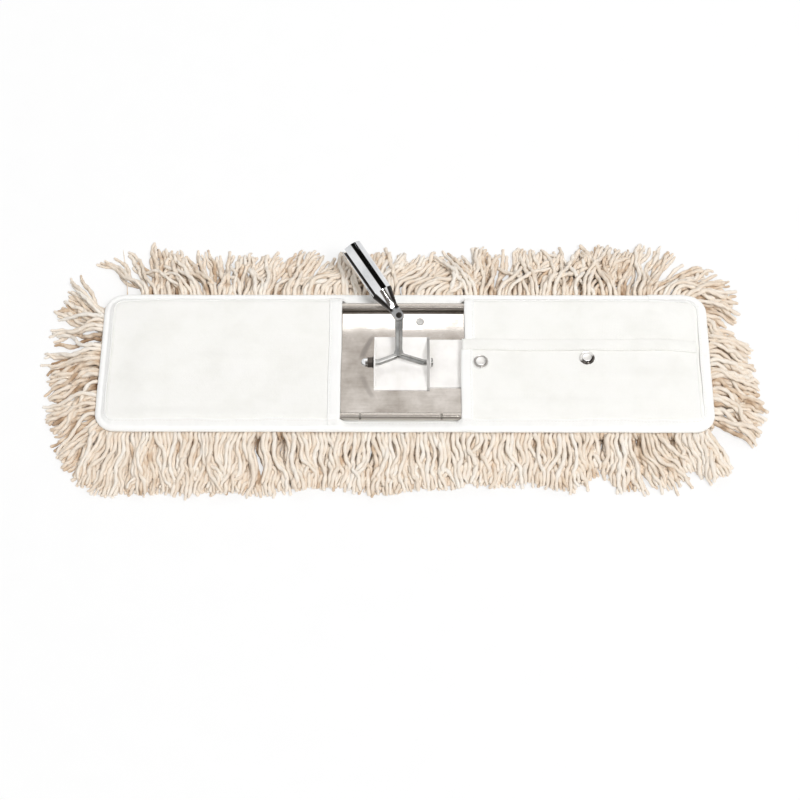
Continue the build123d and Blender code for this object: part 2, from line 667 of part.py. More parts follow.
# Cap nut on the left end of the cross bar
nut_plane = Plane(
    origin=(FRAME_OFFSET_X + left_washer_outer, axle_y, axle_z),
    x_dir=(0, 1, 0),
    z_dir=(-1, 0, 0),
)
with BuildPart() as cap_nut:
    with BuildSketch(nut_plane):
        RegularPolygon(NUT_ACROSS_FLATS / 2, 6, major_radius=False)
    extrude(amount=NUT_HEX_LENGTH)
    with BuildSketch(nut_plane.offset(NUT_HEX_LENGTH)):
        Circle(NUT_DOME_RADIUS)
    extrude(amount=NUT_DOME_STRAIGHT)
    with Locations(nut_plane.offset(NUT_HEX_LENGTH + NUT_DOME_STRAIGHT)):
        Sphere(NUT_DOME_RADIUS)
    with BuildSketch(nut_plane):
        Circle(ARM_RADIUS + NUT_CLEARANCE)
    extrude(amount=NUT_THREAD_DEPTH, mode=Mode.SUBTRACT)

# Handle socket: rolled tube with an open seam, swaged neck and fork
with BuildPart() as handle_socket:
    with BuildSketch(socket_plane.offset(SOCKET_NECK_END)):
        Circle(socket_radius)
    extrude(amount=bore_length)
    with BuildSketch(socket_plane.offset(SOCKET_NECK_START)):
        RectangleRounded(FORK_WIDTH, fork_depth, FORK_CORNER_RADIUS)
    with BuildSketch(socket_plane.offset(SOCKET_NECK_END)):
        Circle(socket_radius)
    loft()
    with BuildSketch(fork_plane):
        Circle(FORK_WIDTH / 2)
        Rectangle(FORK_WIDTH, SOCKET_NECK_START, align=(Align.CENTER, Align.MIN))
    extrude(amount=fork_depth / 2, both=True)
    with BuildSketch(fork_plane):
        with Locations((0, FORK_THROAT)):
            Rectangle(2 * FORK_WIDTH, FORK_THROAT + FORK_WIDTH, align=(Align.CENTER, Align.MAX))
    extrude(amount=fork_slot / 2, both=True, mode=Mode.SUBTRACT)
    with BuildSketch(fork_plane):
        Circle(SWING_RIVET_RADIUS)
    extrude(amount=fork_depth, both=True, mode=Mode.SUBTRACT)
    with BuildSketch(socket_plane.offset(SOCKET_NECK_END)):
        Circle(SOCKET_BORE_RADIUS)
        with PolarLocations(socket_radius, 1, start_angle=270 - SOCKET_SEAM_ANGLE):
            Rectangle(4 * SOCKET_WALL, SOCKET_SEAM_WIDTH)
    extrude(amount=bore_length, mode=Mode.SUBTRACT)
    with BuildSketch(socket_plane.offset(SOCKET_NECK_START + NECK_FLOOR)):
        RectangleRounded(
            FORK_WIDTH - 2 * SOCKET_WALL,
            fork_depth - 2 * SOCKET_WALL,
            FORK_CORNER_RADIUS,
        )
    with BuildSketch(socket_plane.offset(SOCKET_NECK_END)):
        Circle(SOCKET_BORE_RADIUS)
    loft(mode=Mode.SUBTRACT)

# Rivet through the fork and the yoke's eye
with BuildPart() as swing_rivet:
    with BuildSketch(fork_plane):
        Circle(SWING_RIVET_RADIUS)
    extrude(amount=fork_depth / 2, both=True)
    for facing in (1, -1):
        head_plane = Plane(
            origin=swing_centre + yoke_normal * (facing * fork_depth / 2),
            x_dir=socket_side,
            z_dir=yoke_normal * facing,
        )
        with BuildSketch(head_plane):
            Circle(SWING_HEAD_RADIUS)
        extrude(amount=SWING_HEAD_HEIGHT)
    head_edges = swing_rivet.edges().group_by(Axis(swing_centre, yoke_normal))
    fillet(head_edges[0] + head_edges[-1], SWING_HEAD_ROUNDING)

os.makedirs("parts", exist_ok=True)
pieces = {
    "canvas_backing": canvas_backing,
    "yarn_pile": yarn_pile,
    "front_fringe": front_fringe,
    "rear_fringe": rear_fringe,
    "left_fringe": left_fringe,
    "right_fringe": right_fringe,
    "edge_binding": edge_binding,
    "left_pocket": left_pocket,
    "left_mouth_tape": left_mouth_tape,
    "right_pocket": right_pocket,
    "right_mouth_tape": right_mouth_tape,
    "pocket_flap": pocket_flap,
    "flap_mouth_tape": flap_mouth_tape,
    "snap_caps": snap_caps,
    "snap_sockets": snap_sockets,
    "snap_studs": snap_studs,
    "snap_backs": snap_backs,
    "frame_plate": frame_plate,
    "front_edge_wire": front_edge_wire,
    "rear_edge_wire": rear_edge_wire,
    "swivel_bracket": swivel_bracket,
    "tongue_rivets": tongue_rivets,
    "plate_rivet": plate_rivet,
    "yoke": yoke,
    "cap_nut": cap_nut,
    "left_pivot_washer": left_pivot_washer,
    "right_pivot_washer": right_pivot_washer,
    "handle_socket": handle_socket,
    "swing_rivet": swing_rivet,
}
for label, piece in pieces.items():
    piece.part.label = label
    export_step(piece.part, f"parts/{label}.step")
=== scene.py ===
from math import cos, pi, radians, sin

import bpy
import numpy as np
from mathutils import Matrix, Vector


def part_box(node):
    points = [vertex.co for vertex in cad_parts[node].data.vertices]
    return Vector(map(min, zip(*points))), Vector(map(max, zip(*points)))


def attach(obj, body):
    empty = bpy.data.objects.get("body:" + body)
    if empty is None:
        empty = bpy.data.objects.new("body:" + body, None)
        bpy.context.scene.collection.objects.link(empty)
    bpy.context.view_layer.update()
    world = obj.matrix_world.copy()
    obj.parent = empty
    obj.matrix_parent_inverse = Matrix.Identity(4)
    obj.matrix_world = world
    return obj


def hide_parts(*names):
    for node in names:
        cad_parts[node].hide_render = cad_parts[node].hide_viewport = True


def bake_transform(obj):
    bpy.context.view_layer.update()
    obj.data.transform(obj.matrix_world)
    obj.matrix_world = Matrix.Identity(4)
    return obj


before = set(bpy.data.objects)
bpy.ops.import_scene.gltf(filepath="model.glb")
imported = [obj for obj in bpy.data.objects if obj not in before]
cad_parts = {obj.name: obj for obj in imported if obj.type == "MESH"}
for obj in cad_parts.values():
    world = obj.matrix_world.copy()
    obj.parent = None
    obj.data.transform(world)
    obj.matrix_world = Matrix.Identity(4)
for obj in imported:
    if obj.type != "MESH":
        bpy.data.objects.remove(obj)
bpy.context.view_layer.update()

MM = 0.001
# Along the cover, across it and up
ALONG, ACROSS, UPWARD = (1, 0, 0), (0, 1, 0), (0, 0, 1)

# Cover, in millimetres, in the frame of the solids
COVER_LENGTH = 610.0
COVER_WIDTH = 155.0
COVER_CORNER = 20.0
CLOTH_INSET = 1.4
CANVAS_MID = 18.6
SEAM_MID = 19.8
POCKET_TOP = 28.1
POCKET_END_TOP = 24.8
CLOTH_THICKNESS = 1.2
TAPE_THICKNESS = 0.8
BINDING_COVER = 10.4
BINDING_SEAM = 8.9
BINDING_SEAM_LANE = 15
LAP_START = 748.0
LAP_LENGTH = 38.0
LEFT_MOUTH = -64.5
RIGHT_MOUTH = 61.0
FLAP_MOUTH = 57.0
MOUTH_SIDE = 70.5
FLAP_SEAM = -71.0
FLAP_END = 291.2
FLAP_EDGE = 20.0
FLAP_TURN = FLAP_EDGE - 0.9
FLAP_HEM = 12.5
FLAP_LEVEL = 30.9
WINDOW_END = 283.0
PANEL_EDGE = -16.0
ROLL_MIDDLE = -0.5
ROLL_SPAN = 62.0
ROLL_SCUFF = (57.0, 58.5)

# Press studs: where they sit, their cap's profile as radius and height, the first and last of the rings that
# are painted dark as shade on each, and the way towards the side painted light, with where it starts and ends
SNAPS = ((75.5, -6.0), (181.0, -1.5))
BETWEEN_SNAPS = (SNAPS[0][0] + SNAPS[1][0]) / 2
STUD_SEAT = 31.5
STUD_PROFILE = (
    (0.0, 2.6), (1.4, 2.58), (2.8, 2.52), (3.9, 2.4), (4.5, 2.22), (4.85, 1.9), (5.0, 1.45),
    (5.15, 0.95), (5.6, 0.6), (6.2, 0.5), (6.7, 0.6), (7.0, 0.85), (7.35, 0.9), (7.6, 0.65),
    (7.6, 0.3), (7.4, 0.0), (6.6, -0.15),
)
STUD_SHADE_RINGS = ((5, 9), (3, 11))
LIT_SIDE_WAY = (-0.42, 0.91, 0)
LIT_SIDE_SOFT = (-1.5, 1.5)

# Swivel: the handle socket's pivot and how it lies at rest, its bore and neck, the bracket's standing fold
# with its edge painted grey as shade, the bands of painted shadow beside the left ear, the yoke's arm painted
# pale as light and the cap nut's shoulder. Pairs are where a change starts and ends. The neck's bright
# middle, between sides painted dark as reflection, has its start and end along the socket, and half its width
# there.
SOCKET_PIVOT = (-5.8, 38.946, 43.741)
SOCKET_AXIS = (-0.56641, 0.78811, 0.24095)
SOCKET_ACROSS = (0.8240, 0.5417, 0.1656)
SOCKET_BORE = 10.3
BORE_END = 29.0
NECK_START, NECK_END = 6.0, 30.0
NECK_MIDDLE = Vector(SOCKET_PIVOT) - Vector(SOCKET_ACROSS) * 0.6
NECK_BRIGHT = (10.0, 30.0, 1.3, 6.2)
FOLD_MIDDLE = (23.5, 0, 0)
FOLD_HALF = 1.42
EAR_SHADE_POINT = (-45.0, -5.0, 0)
EAR_SHADE_BOW = 0.06514
EAR_SHADE_SOFT = (0.8, 4.4)
EAR_SHADE_ENDS = ((6, 13), (31, 38))
EAR_SHADE_FADE = (-10, 4)
ARM_LIT_SPAN = (-13, -7)
NUT_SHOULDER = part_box("cap_nut")[0][0] / MM + 6.6

# Folds left in the cloth: from, to, width and height
LEFT_FOLDS = (
    ((-215, 3), (-150, -2), 5, 0.7), ((-150, 26), (-70, 20), 6, -0.6), ((-285, -52), (-160, -56), 6, -0.8),
    ((-170, -38), (-120, -56), 6, 0.7), ((-292, 50), (-240, 30), 7, 0.6),
)
PANEL_FOLDS = (
    ((236, 61), (268, 50), 4, -1.1), ((262, 60), (286, 42), 4, 1.0), ((285, 58), (292, 36), 4, -0.9),
)
FLAP_FOLDS = (
    ((70, -42), (230, -46), 6, -0.8), ((150, -22), (285, -19), 5, 0.6), ((246, -52), (252, -20), 6, 0.7),
)

# Yarn, in millimetres: the header is the length sewn in under the binding
YARN_RADIUS = 2.15
PLIES = 2
PLY_TURN = 22.0
HEADER = 9.0
YARN_LIFT = 2.4
STUB_REACH = 3.0
PILE_ROOT = 15.6
PILE_HALF_LENGTH, PILE_HALF_WIDTH = 290, 63

# Layers of the fringe from the lowest up: ends sewn in, share left out away from the front, tangle, heights
# of root and arch, and how much darker a yarn is painted as shade at its root, at its tip and at its tip on
# the left; a negative share paints the top layer lighter, as light
FRINGE_ENDS = (490, 420, 380)
LAYER_BARE, LAYER_TANGLE, LAYER_ROOT, LAYER_ARCH, ROOT_PAINTED_SHADE, TIP_PAINTED_SHADE, LEFT_TIP_PAINTED_SHADE = np.array(
    (
        (0.0, 0.24, 0.40), (0.22, 0.36, 0.52), (4.8, 8.6, 12.4), (0.0, 1.5, 3.6),
        (0.52, 0.24, -0.10), (0.06, 0.02, -0.12), (0.20, 0.04, -0.04),
    )
)

# Which way the yarn was last shaken: place along each side, and lean from straight out in degrees,
# anticlockwise
FRONT_LEAN = (
    (-285, -12), (-250, -3), (-200, 3), (-150, -6), (-128, 9), (-80, 4), (-20, -3), (40, 3), (110, -3),
    (160, 5), (190, -4), (215, 6), (245, 22), (272, 24), (285, 22), (290, 10), (295, -5), (300, -20),
)
REAR_LEAN = (
    (-285, 20), (-262, 12), (-240, 2), (-218, 24), (-187, 3), (-160, -12), (-115, -28), (-74, -22),
    (-43, -10), (0, -26), (30, -34), (56, -5), (76, 15), (102, -20), (143, -14), (185, -18), (216, -6),
    (238, -22), (250, -38), (285, -48),
)
LEFT_LEAN = ((-60, 20), (-30, 27), (0, 27), (24, 22), (36, -14), (60, -10))
RIGHT_LEAN = ((-70, -8), (-57, -18), (-20, -12), (20, -20), (57, -24), (70, -10))

# How far the yarn reaches: place along each side and reach from the edge
FRONT_REACH = (
    (-285, 62), (-125, 61), (-95, 54), (-60, 54), (-35, 59), (0, 58), (25, 54), (65, 50), (85, 53),
    (120, 48), (145, 54), (172, 52), (179, 40), (187, 31), (196, 36), (206, 52), (226, 61), (238, 59),
    (249, 46), (258, 34), (268, 36), (280, 43), (293, 50),
)
REAR_REACH = (
    (-285, 70), (-250, 66), (-215, 60), (-180, 57), (-150, 57), (-130, 65), (-110, 60), (0, 62), (18, 54),
    (40, 46), (52, 48), (64, 67), (84, 66), (92, 58), (100, 66), (130, 60), (160, 66), (205, 70), (235, 68),
    (255, 58), (272, 50), (285, 44),
)
LEFT_REACH = ((-66, 44), (-40, 50), (0, 55), (22, 60), (30, 54), (40, 54), (66, 54))
RIGHT_REACH = ((-70, 40), (-57, 46), (-40, 52), (0, 48), (20, 46), (35, 42), (50, 33), (58, 22), (70, 16))

# Where yarns are cut short: x, y, radius and the lowest layer that is cut
FRINGE_GAPS = (
    (301.4, 68.5, 6.0, 1), (303.2, -65.4, 5.0, 0), (-143, -77, 4.5, 1), (-122, -77, 4.0, 1),
    (-305, 30, 4.0, 1), (-236, 77, 4.0, 1), (192, -77, 4.5, 1), (226, -77, 4.0, 1), (262, -77, 4.0, 1),
)
# The worn rear left corner: x, y and radius
WORN_CORNER = (-288, 74, 19)

# A band of the wave texture takes 2 pi / 20 of its unit, and slantwise twice that along each axis
BAND_TURN = 2 * pi / 20
# A ramp this short, in millimetres, is an edge
SHARP = 0.01

# Camera: degrees round, up and rolled, the point it looks at in millimetres, its distance and lens
CAMERA_AZIMUTH, CAMERA_ELEVATION, CAMERA_ROLL = 1.069, 62.681, -0.837
CAMERA_TARGET = (-4.459, -42.861, 20.0)
CAMERA_DISTANCE = 1746.185
CAMERA_LENS, CAMERA_SENSOR = 79.48, 36.0


def linear(hex_colour):
    """An sRGB hex colour as linear red, green, blue and alpha."""
    parts = [int(hex_colour[i : i + 2], 16) / 255 for i in (1, 3, 5)]
    return [p / 12.92 if p <= 0.04045 else ((p + 0.055) / 1.055) ** 2.4 for p in parts] + [1.0]


def add_node(tree, kind, sockets=None, stops=(), **settings):
    """Adds one node with its settings and, on a ramp, its (place, hex colour) stops.
    Each socket takes a value or another node's output."""
    made = tree.nodes.new(kind)
    for key, value in settings.items():
        setattr(made, key, value)
    for number, (place, hex_colour) in enumerate(stops):
        ramp = made.color_ramp.elements
        stop = ramp[number] if number < len(ramp) else ramp.new(place)
        stop.position = place
        stop.color = linear(hex_colour)
    for key, value in (sockets or {}).items():
        if isinstance(value, bpy.types.NodeSocket):
            tree.links.new(value, made.inputs[key])
        else:
            made.inputs[key].default_value = value
    return made


def new_finish(name):
    """An empty material and its node tree."""
    finish = bpy.data.materials.new(name)
    finish.use_nodes = True
    finish.node_tree.nodes.clear()
    return finish, finish.node_tree


# Bleached cotton canvas, plain woven: matt white, with a faint square weave and slubs.
# Real threads lie 0.6 mm apart; they are drawn at 1.5 mm so that they show.
def bleached_canvas():
    finish, tree = new_finish("bleached_cotton_canvas_plain_woven")
    flat = add_node(tree, "ShaderNodeUVMap", uv_map="flat").outputs["UV"]
    threads = 1 / (1.5 * MM)
    warp, weft = (
        add_node(
            tree, "ShaderNodeTexWave",
            {"Vector": flat, "Scale": threads * BAND_TURN, "Distortion": 0.6, "Detail Scale": 2.0},
            wave_type="BANDS", bands_direction=way,
        )
        for way in ("X", "Y")
    )
    over = add_node(
        tree, "ShaderNodeTexChecker",
        {"Vector": flat, "Scale": threads, "Color1": (0, 0, 0, 1), "Color2": (1, 1, 1, 1)},
    )
    weave = add_node(
        tree, "ShaderNodeMix",
        {"Factor": over.outputs["Fac"], "A": warp.outputs["Fac"], "B": weft.outputs["Fac"]},
    )
    slubs = add_node(
        tree, "ShaderNodeTexNoise", {"Vector": flat, "Scale": 1 / (45 * MM), "Detail": 5.0, "Roughness": 0.6}
    )
    colour = add_node(
        tree, "ShaderNodeValToRGB", {"Fac": slubs.outputs["Fac"]},
        stops=((0.30, "#F6F5F0"), (0.52, "#FBFAF6"), (0.75, "#FDFCF9")),
    )
    relief = add_node(
        tree, "ShaderNodeBump", {"Height": weave.outputs["Result"], "Strength": 0.5, "Distance": 0.24 * MM}
    )
    crumple = add_node(
        tree, "ShaderNodeBump",
        {
            "Height": slubs.outputs["Fac"], "Strength": 0.35, "Distance": 1.2 * MM,
            "Normal": relief.outputs["Normal"],
        },
    )
    surface = add_node(
        tree, "ShaderNodeBsdfPrincipled",
        {
            "Base Color": colour.outputs["Color"], "Roughness": 0.9, "Specular IOR Level": 0.25,
            "Sheen Weight": 0.08, "Sheen Roughness": 0.5, "Normal": crumple.outputs["Normal"],
        },
    )
    add_node(tree, "ShaderNodeOutputMaterial", {"Surface": surface.outputs["BSDF"]})
    return finish


# Bleached cotton tape, twill woven: whiter than the canvas, with fine slanting ribs.
# Real ribs are 0.7 mm wide; they are drawn at 1.6 mm so that they show.
def bleached_twill_tape():
    finish, tree = new_finish("bleached_cotton_tape_twill_woven")
    flat = add_node(tree, "ShaderNodeUVMap", uv_map="flat").outputs["UV"]
    ribs = add_node(
        tree, "ShaderNodeTexWave",
        {
            "Vector": flat, "Scale": 1 / (1.6 * MM) * BAND_TURN * 2**0.5, "Distortion": 0.8,
            "Detail Scale": 2.0,
        },
        wave_type="BANDS", bands_direction="DIAGONAL",
    )
    patches = add_node(tree, "ShaderNodeTexNoise", {"Vector": flat, "Scale": 1 / (30 * MM), "Detail": 4.0})
    colour = add_node(
        tree, "ShaderNodeValToRGB", {"Fac": patches.outputs["Fac"]},
        stops=((0.3, "#FBFAF8"), (0.55, "#FDFDFB"), (0.8, "#FEFEFD")),
    )
    relief = add_node(
        tree, "ShaderNodeBump", {"Height": ribs.outputs["Fac"], "Strength": 0.35, "Distance": 0.2 * MM}
    )
    surface = add_node(
        tree, "ShaderNodeBsdfPrincipled",
        {
            "Base Color": colour.outputs["Color"], "Roughness": 0.85, "Specular IOR Level": 0.3,
            "Sheen Weight": 0.1, "Sheen Roughness": 0.5, "Normal": relief.outputs["Normal"],
        },
    )
    add_node(tree, "ShaderNodeOutputMaterial", {"Surface": surface.outputs["BSDF"]})
    return finish


# Natural cotton yarn, soft spun and plied: warm cream, dull, each end a little different in tone,
# with loose fibres that blur its edge. Real fibres are 0.02 mm thick; they are drawn at 1.6 mm so that
# they show.
def natural_cotton_yarn():
    finish, tree = new_finish("natural_cotton_yarn_soft_spun")
    tone = add_node(tree, "ShaderNodeAttribute", attribute_name="tone")
    place = add_node(tree, "ShaderNodeTexCoord").outputs["Object"]
    fibres = add_node(
        tree, "ShaderNodeTexNoise",
        {"Vector": place, "Scale": 1 / (1.6 * MM), "Detail": 4.0, "Roughness": 0.65},
    )
    flecks = add_node(tree, "ShaderNodeTexNoise", {"Vector": place, "Scale": 1 / (12 * MM), "Detail": 2.0})
    mixed = add_node(
        tree, "ShaderNodeMath", {0: tone.outputs["Fac"], 1: flecks.outputs["Fac"]}, operation="ADD"
    )
    shade = add_node(tree, "ShaderNodeMath", {0: mixed.outputs[0], 1: 0.5}, operation="MULTIPLY")
    colour = add_node(
        tree, "ShaderNodeValToRGB", {"Fac": shade.outputs[0]},
        stops=((0.25, "#A48263"), (0.36, "#D9BFA3"), (0.45, "#F2E2CF"), (0.60, "#FAEEDF"), (0.78, "#FDF6EC")),
    )
    relief = add_node(
        tree, "ShaderNodeBump", {"Height": fibres.outputs["Fac"], "Strength": 0.6, "Distance": 0.6 * MM}
    )
    surface = add_node(
        tree, "ShaderNodeBsdfPrincipled",
        {
            "Base Color": colour.outputs["Color"], "Roughness": 0.95, "Specular IOR Level": 0.2,
            "Sheen Weight": 0.2, "Sheen Roughness": 0.6, "Normal": relief.outputs["Normal"],
        },
    )
    add_node(tree, "ShaderNodeOutputMaterial", {"Surface": surface.outputs["BSDF"]})
    return finish


# Bleached sewing thread, three-ply: bright white with a soft lustre and a tight twist.
# The real twist is 0.25 mm; it is drawn at 0.9 mm so that it shows.
def bleached_sewing_thread():
    finish, tree = new_finish("bleached_sewing_thread_three_ply")
    place = add_node(tree, "ShaderNodeTexCoord").outputs["Object"]
    twist = add_node(
        tree, "ShaderNodeTexWave",
        {"Vector": place, "Scale": 1 / (0.9 * MM) * BAND_TURN * 2, "Distortion": 1.0},
        wave_type="BANDS", bands_direction="DIAGONAL",
    )
    colour = add_node(
        tree, "ShaderNodeValToRGB", {"Fac": twist.outputs["Fac"]}, stops=((0.1, "#E9E7E0"), (0.7, "#F8F7F3"))
    )
    relief = add_node(
        tree, "ShaderNodeBump", {"Height": twist.outputs["Fac"], "Strength": 0.4, "Distance": 0.1 * MM}
    )
    surface = add_node(
        tree, "ShaderNodeBsdfPrincipled",
        {"Base Color": colour.outputs["Color"], "Roughness": 0.6, "Normal": relief.outputs["Normal"]},
    )
    add_node(tree, "ShaderNodeOutputMaterial", {"Surface": surface.outputs["BSDF"]})
    return finish


def distance_along(tree, place, way, start=(0, 0, 0), either_side=False, unit=MM):
    """How far a place lies from a start along one way, counted in units, or how far to either side of it."""
    from_start = add_node(
        tree, "ShaderNodeVectorMath", {0: place, 1: Vector(start) * unit}, operation="SUBTRACT"
    )
    far = add_node(
        tree, "ShaderNodeVectorMath", {0: from_start.outputs["Vector"], 1: Vector(way) / unit},
        operation="DOT_PRODUCT",
    ).outputs["Value"]
    if either_side:
        far = add_node(tree, "ShaderNodeMath", {0: far}, operation="ABSOLUTE").outputs[0]
    return far


def sharp_edge(measured, edge, before, after):
    """A row for share_within that changes at one place."""
    return measured, edge - SHARP, edge + SHARP, before, after


def share_within(tree, rows, share=None, **settings):
    """Ramps multiplied together, each from a distance, where it starts and ends, and its share at both."""
    for measured, start, end, first, last in rows:
        ramp = add_node(
            tree, "ShaderNodeMapRange",
            {"Value": measured, "From Min": start, "From Max": end, "To Min": first, "To Max": last},
            **settings,
        ).outputs["Result"]
        if share is not None:
            ramp = add_node(tree, "ShaderNodeMath", {0: share, 1: ramp}, operation="MULTIPLY").outputs[0]
        share = ramp
    return share


def socket_bore_shade(tree, place):
    """1 inside the handle socket's tube, bare steel painted near black as its shade, 0 on its outside and its
    neck.
    """
    along = distance_along(tree, place, SOCKET_AXIS, SOCKET_PIVOT)
    from_pivot = add_node(
        tree, "ShaderNodeVectorMath", {0: place, 1: Vector(SOCKET_PIVOT) * MM}, operation="SUBTRACT"
    )
    off_axis = add_node(
        tree, "ShaderNodeVectorMath", {0: from_pivot.outputs["Vector"], 1: Vector(SOCKET_AXIS) / MM},
        operation="CROSS_PRODUCT",
    )
    apart = add_node(tree, "ShaderNodeVectorMath", {0: off_axis.outputs["Vector"]}, operation="LENGTH")
    return share_within(
        tree, (sharp_edge(apart.outputs["Value"], SOCKET_BORE, 1, 0), sharp_edge(along, BORE_END, 0, 1))
    )


def neck_dark_reflection(tree, place):
    """1 on both sides of the handle socket's pressed neck, where a dark reflection is painted, 0 along its
    middle and elsewhere.
    """
    along = distance_along(tree, place, SOCKET_AXIS, SOCKET_PIVOT)
    off_middle = distance_along(tree, place, SOCKET_ACROSS, NECK_MIDDLE, either_side=True)
    bright_half = share_within(tree, ((along, *NECK_BRIGHT),))
    past_bright = add_node(tree, "ShaderNodeMath", {0: off_middle, 1: bright_half}, operation="SUBTRACT")
    return share_within(
        tree,
        (
            (past_bright.outputs[0], -0.3, 0.6, 0, 1), (along, NECK_START, NECK_START + 1.5, 0, 1),
            sharp_edge(along, NECK_END, 1, 0),
        ),
    )


def ear_shade_bands(tree, place):
    """Up to 1 along two soft bands of painted shadow that spread from the cap nut past the left ear's ends, 0
    elsewhere.
    """
    out = distance_along(tree, place, ACROSS, EAR_SHADE_POINT, either_side=True)
    bow = add_node(tree, "ShaderNodeMath", {0: out, 1: 1.5}, operation="POWER")
    off_line = add_node(
        tree, "ShaderNodeMath",
        {0: bow.outputs[0], 1: -EAR_SHADE_BOW, 2: distance_along(tree, place, ALONG, EAR_SHADE_POINT)},
        operation="MULTIPLY_ADD",
    )
    apart = add_node(tree, "ShaderNodeMath", {0: off_line.outputs[0]}, operation="ABSOLUTE")
    soft = share_within(tree, ((apart.outputs[0], *EAR_SHADE_SOFT, 1, 0),), interpolation_type="SMOOTHSTEP")
    back = distance_along(tree, place, ACROSS)
    near, far = EAR_SHADE_ENDS
    return share_within(tree, ((out, *near, 0, 1), (out, *far, 1, 0), (back, *EAR_SHADE_FADE, 0.55, 1)), soft)


def rolled_edges(tree, place):
    """1 on the frame plate's rolled edges, 0 on the flat between them."""
    off_middle = distance_along(tree, place, ACROSS, (0, ROLL_MIDDLE, 0), either_side=True)
    return share_within(tree, ((off_middle, *ROLL_SCUFF, 0, 1),))


def nut_hexagon_shade(tree, place):
    """1 on the cap nut's hexagon, which is painted dark as shade, 0 on its dome."""
    return share_within(tree, (sharp_edge(distance_along(tree, place, ALONG), NUT_SHOULDER, 0, 1),))


def fold_edge_shade(tree, place):
    """1 along the edge of the bracket's standing fold, painted grey as shade, 0 on its faces and the rest of
    the bracket.
    """
    off_middle = distance_along(tree, place, ALONG, FOLD_MIDDLE, either_side=True)
    return share_within(tree, (sharp_edge(off_middle, FOLD_HALF, 1, 0),))


def left_stud_light_shade(tree, place):
    """1 on the left press stud, where the painted shade is lighter, 0 on the right one."""
    return share_within(tree, (sharp_edge(distance_along(tree, place, ALONG), BETWEEN_SNAPS, 1, 0),))


def right_stud_lit_side(tree, place):
    """1 on the upper left of the right press stud, painted light as its lit side, 0 elsewhere."""
    towards = distance_along(tree, place, LIT_SIDE_WAY, (*SNAPS[1], STUD_SEAT))
    on_right = sharp_edge(distance_along(tree, place, ALONG), BETWEEN_SNAPS, 0, 1)
    return share_within(tree, ((towards, *LIT_SIDE_SOFT, 0, 1), on_right))


def left_arm_painted_light(tree, place):
    """1 on the yoke's left arm, which is painted pale as light, 0 on its stem and its right arm."""
    return share_within(tree, ((distance_along(tree, place, ALONG), *ARM_LIT_SPAN, 1, 0),))


def plated_metal(name, tones, gloss, streak_mm, streak_along, dents_mm, dent_depth, worn=()):
    """A plated metal finish: tones from dull to bright, gloss as roughness from clean to smudged.
    Streaks run along one axis, drawn coarser than the real tenth of a millimetre so that they show;
    dents are the slow waves that bend its reflections.
    Where the plating is worn or thin, worn gives each place, its colour and its roughness."""
    finish, tree = new_finish(name)
    place = add_node(tree, "ShaderNodeTexCoord").outputs["Object"]
    stretch = [1 / (streak_mm * MM)] * 3
    stretch[streak_along] /= 14
    drawn = add_node(tree, "ShaderNodeMapping", {"Vector": place, "Scale": stretch})
    streaks = add_node(
        tree, "ShaderNodeTexNoise",
        {"Vector": drawn.outputs["Vector"], "Scale": 1.0, "Detail": 4.0, "Roughness": 0.7},
    )
    smudges = add_node(
        tree, "ShaderNodeTexNoise",
        {"Vector": place, "Scale": 1 / (dents_mm * MM * 0.8), "Detail": 5.0, "Roughness": 0.55},
    )
    waves = add_node(
        tree, "ShaderNodeTexNoise", {"Vector": place, "Scale": 1 / (dents_mm * MM), "Detail": 1.0}
    )
    wear = add_node(
        tree, "ShaderNodeMix", {"Factor": 0.86, "A": streaks.outputs["Fac"], "B": smudges.outputs["Fac"]}
    ).outputs["Result"]
    tone = add_node(
        tree, "ShaderNodeValToRGB", {"Fac": wear}, stops=((0.36, tones[0]), (0.5, tones[1]), (0.64, tones[2]))
    ).outputs["Color"]
    dullness = add_node(
        tree, "ShaderNodeMapRange",
        {"Value": wear, "From Min": 0.35, "From Max": 0.65, "To Min": gloss[1], "To Max": gloss[0]},
    ).outputs["Result"]
    for worn_place, worn_colour, worn_roughness in worn:
        where = worn_place(tree, place)
        tone = add_node(
            tree, "ShaderNodeMix", {"Factor": where, "A": tone, "B": linear(worn_colour)}, data_type="RGBA"
        ).outputs["Result"]
        dullness = add_node(
            tree, "ShaderNodeMix", {"Factor": where, "A": dullness, "B": worn_roughness}
        ).outputs["Result"]
    bend = add_node(
        tree, "ShaderNodeBump", {"Height": waves.outputs["Fac"], "Strength": 1.0, "Distance": dent_depth * MM}
    )
    grain = add_node(
        tree, "ShaderNodeBump",
        {
            "Height": streaks.outputs["Fac"], "Strength": 0.25, "Distance": streak_mm * MM * 0.003,
            "Normal": bend.outputs["Normal"],
        },
    )
    surface = add_node(
        tree, "ShaderNodeBsdfPrincipled",
        {"Base Color": tone, "Metallic": 1.0, "Roughness": dullness, "Normal": grain.outputs["Normal"]},
    )
    add_node(tree, "ShaderNodeOutputMaterial", {"Surface": surface.outputs["BSDF"]})
    return finish


def smooth_step(low, high, value):
    """0 below low, 1 above high, with a smooth rise between."""
    share = np.clip((value - low) / (high - low), 0, 1)
    return share * share * (3 - 2 * share)


def edge_distance(x, y):
    """How far a point lies in from the cover's rounded edge."""
    over_x = np.abs(x) - (COVER_LENGTH / 2 - COVER_CORNER)
    over_y = np.abs(y) - (COVER_WIDTH / 2 - COVER_CORNER)
    round_part = np.hypot(np.maximum(over_x, 0), np.maximum(over_y, 0))
    return COVER_CORNER - round_part - np.minimum(np.maximum(over_x, over_y), 0)


def half_width_at(x):
    """Half the cloth's width at a place along the cover, a little in from its edge."""
    radius = COVER_CORNER - CLOTH_INSET
    over = np.clip(np.abs(x) - (COVER_LENGTH / 2 - COVER_CORNER), 0, radius)
    return COVER_WIDTH / 2 - COVER_CORNER + np.sqrt(radius**2 - over**2)


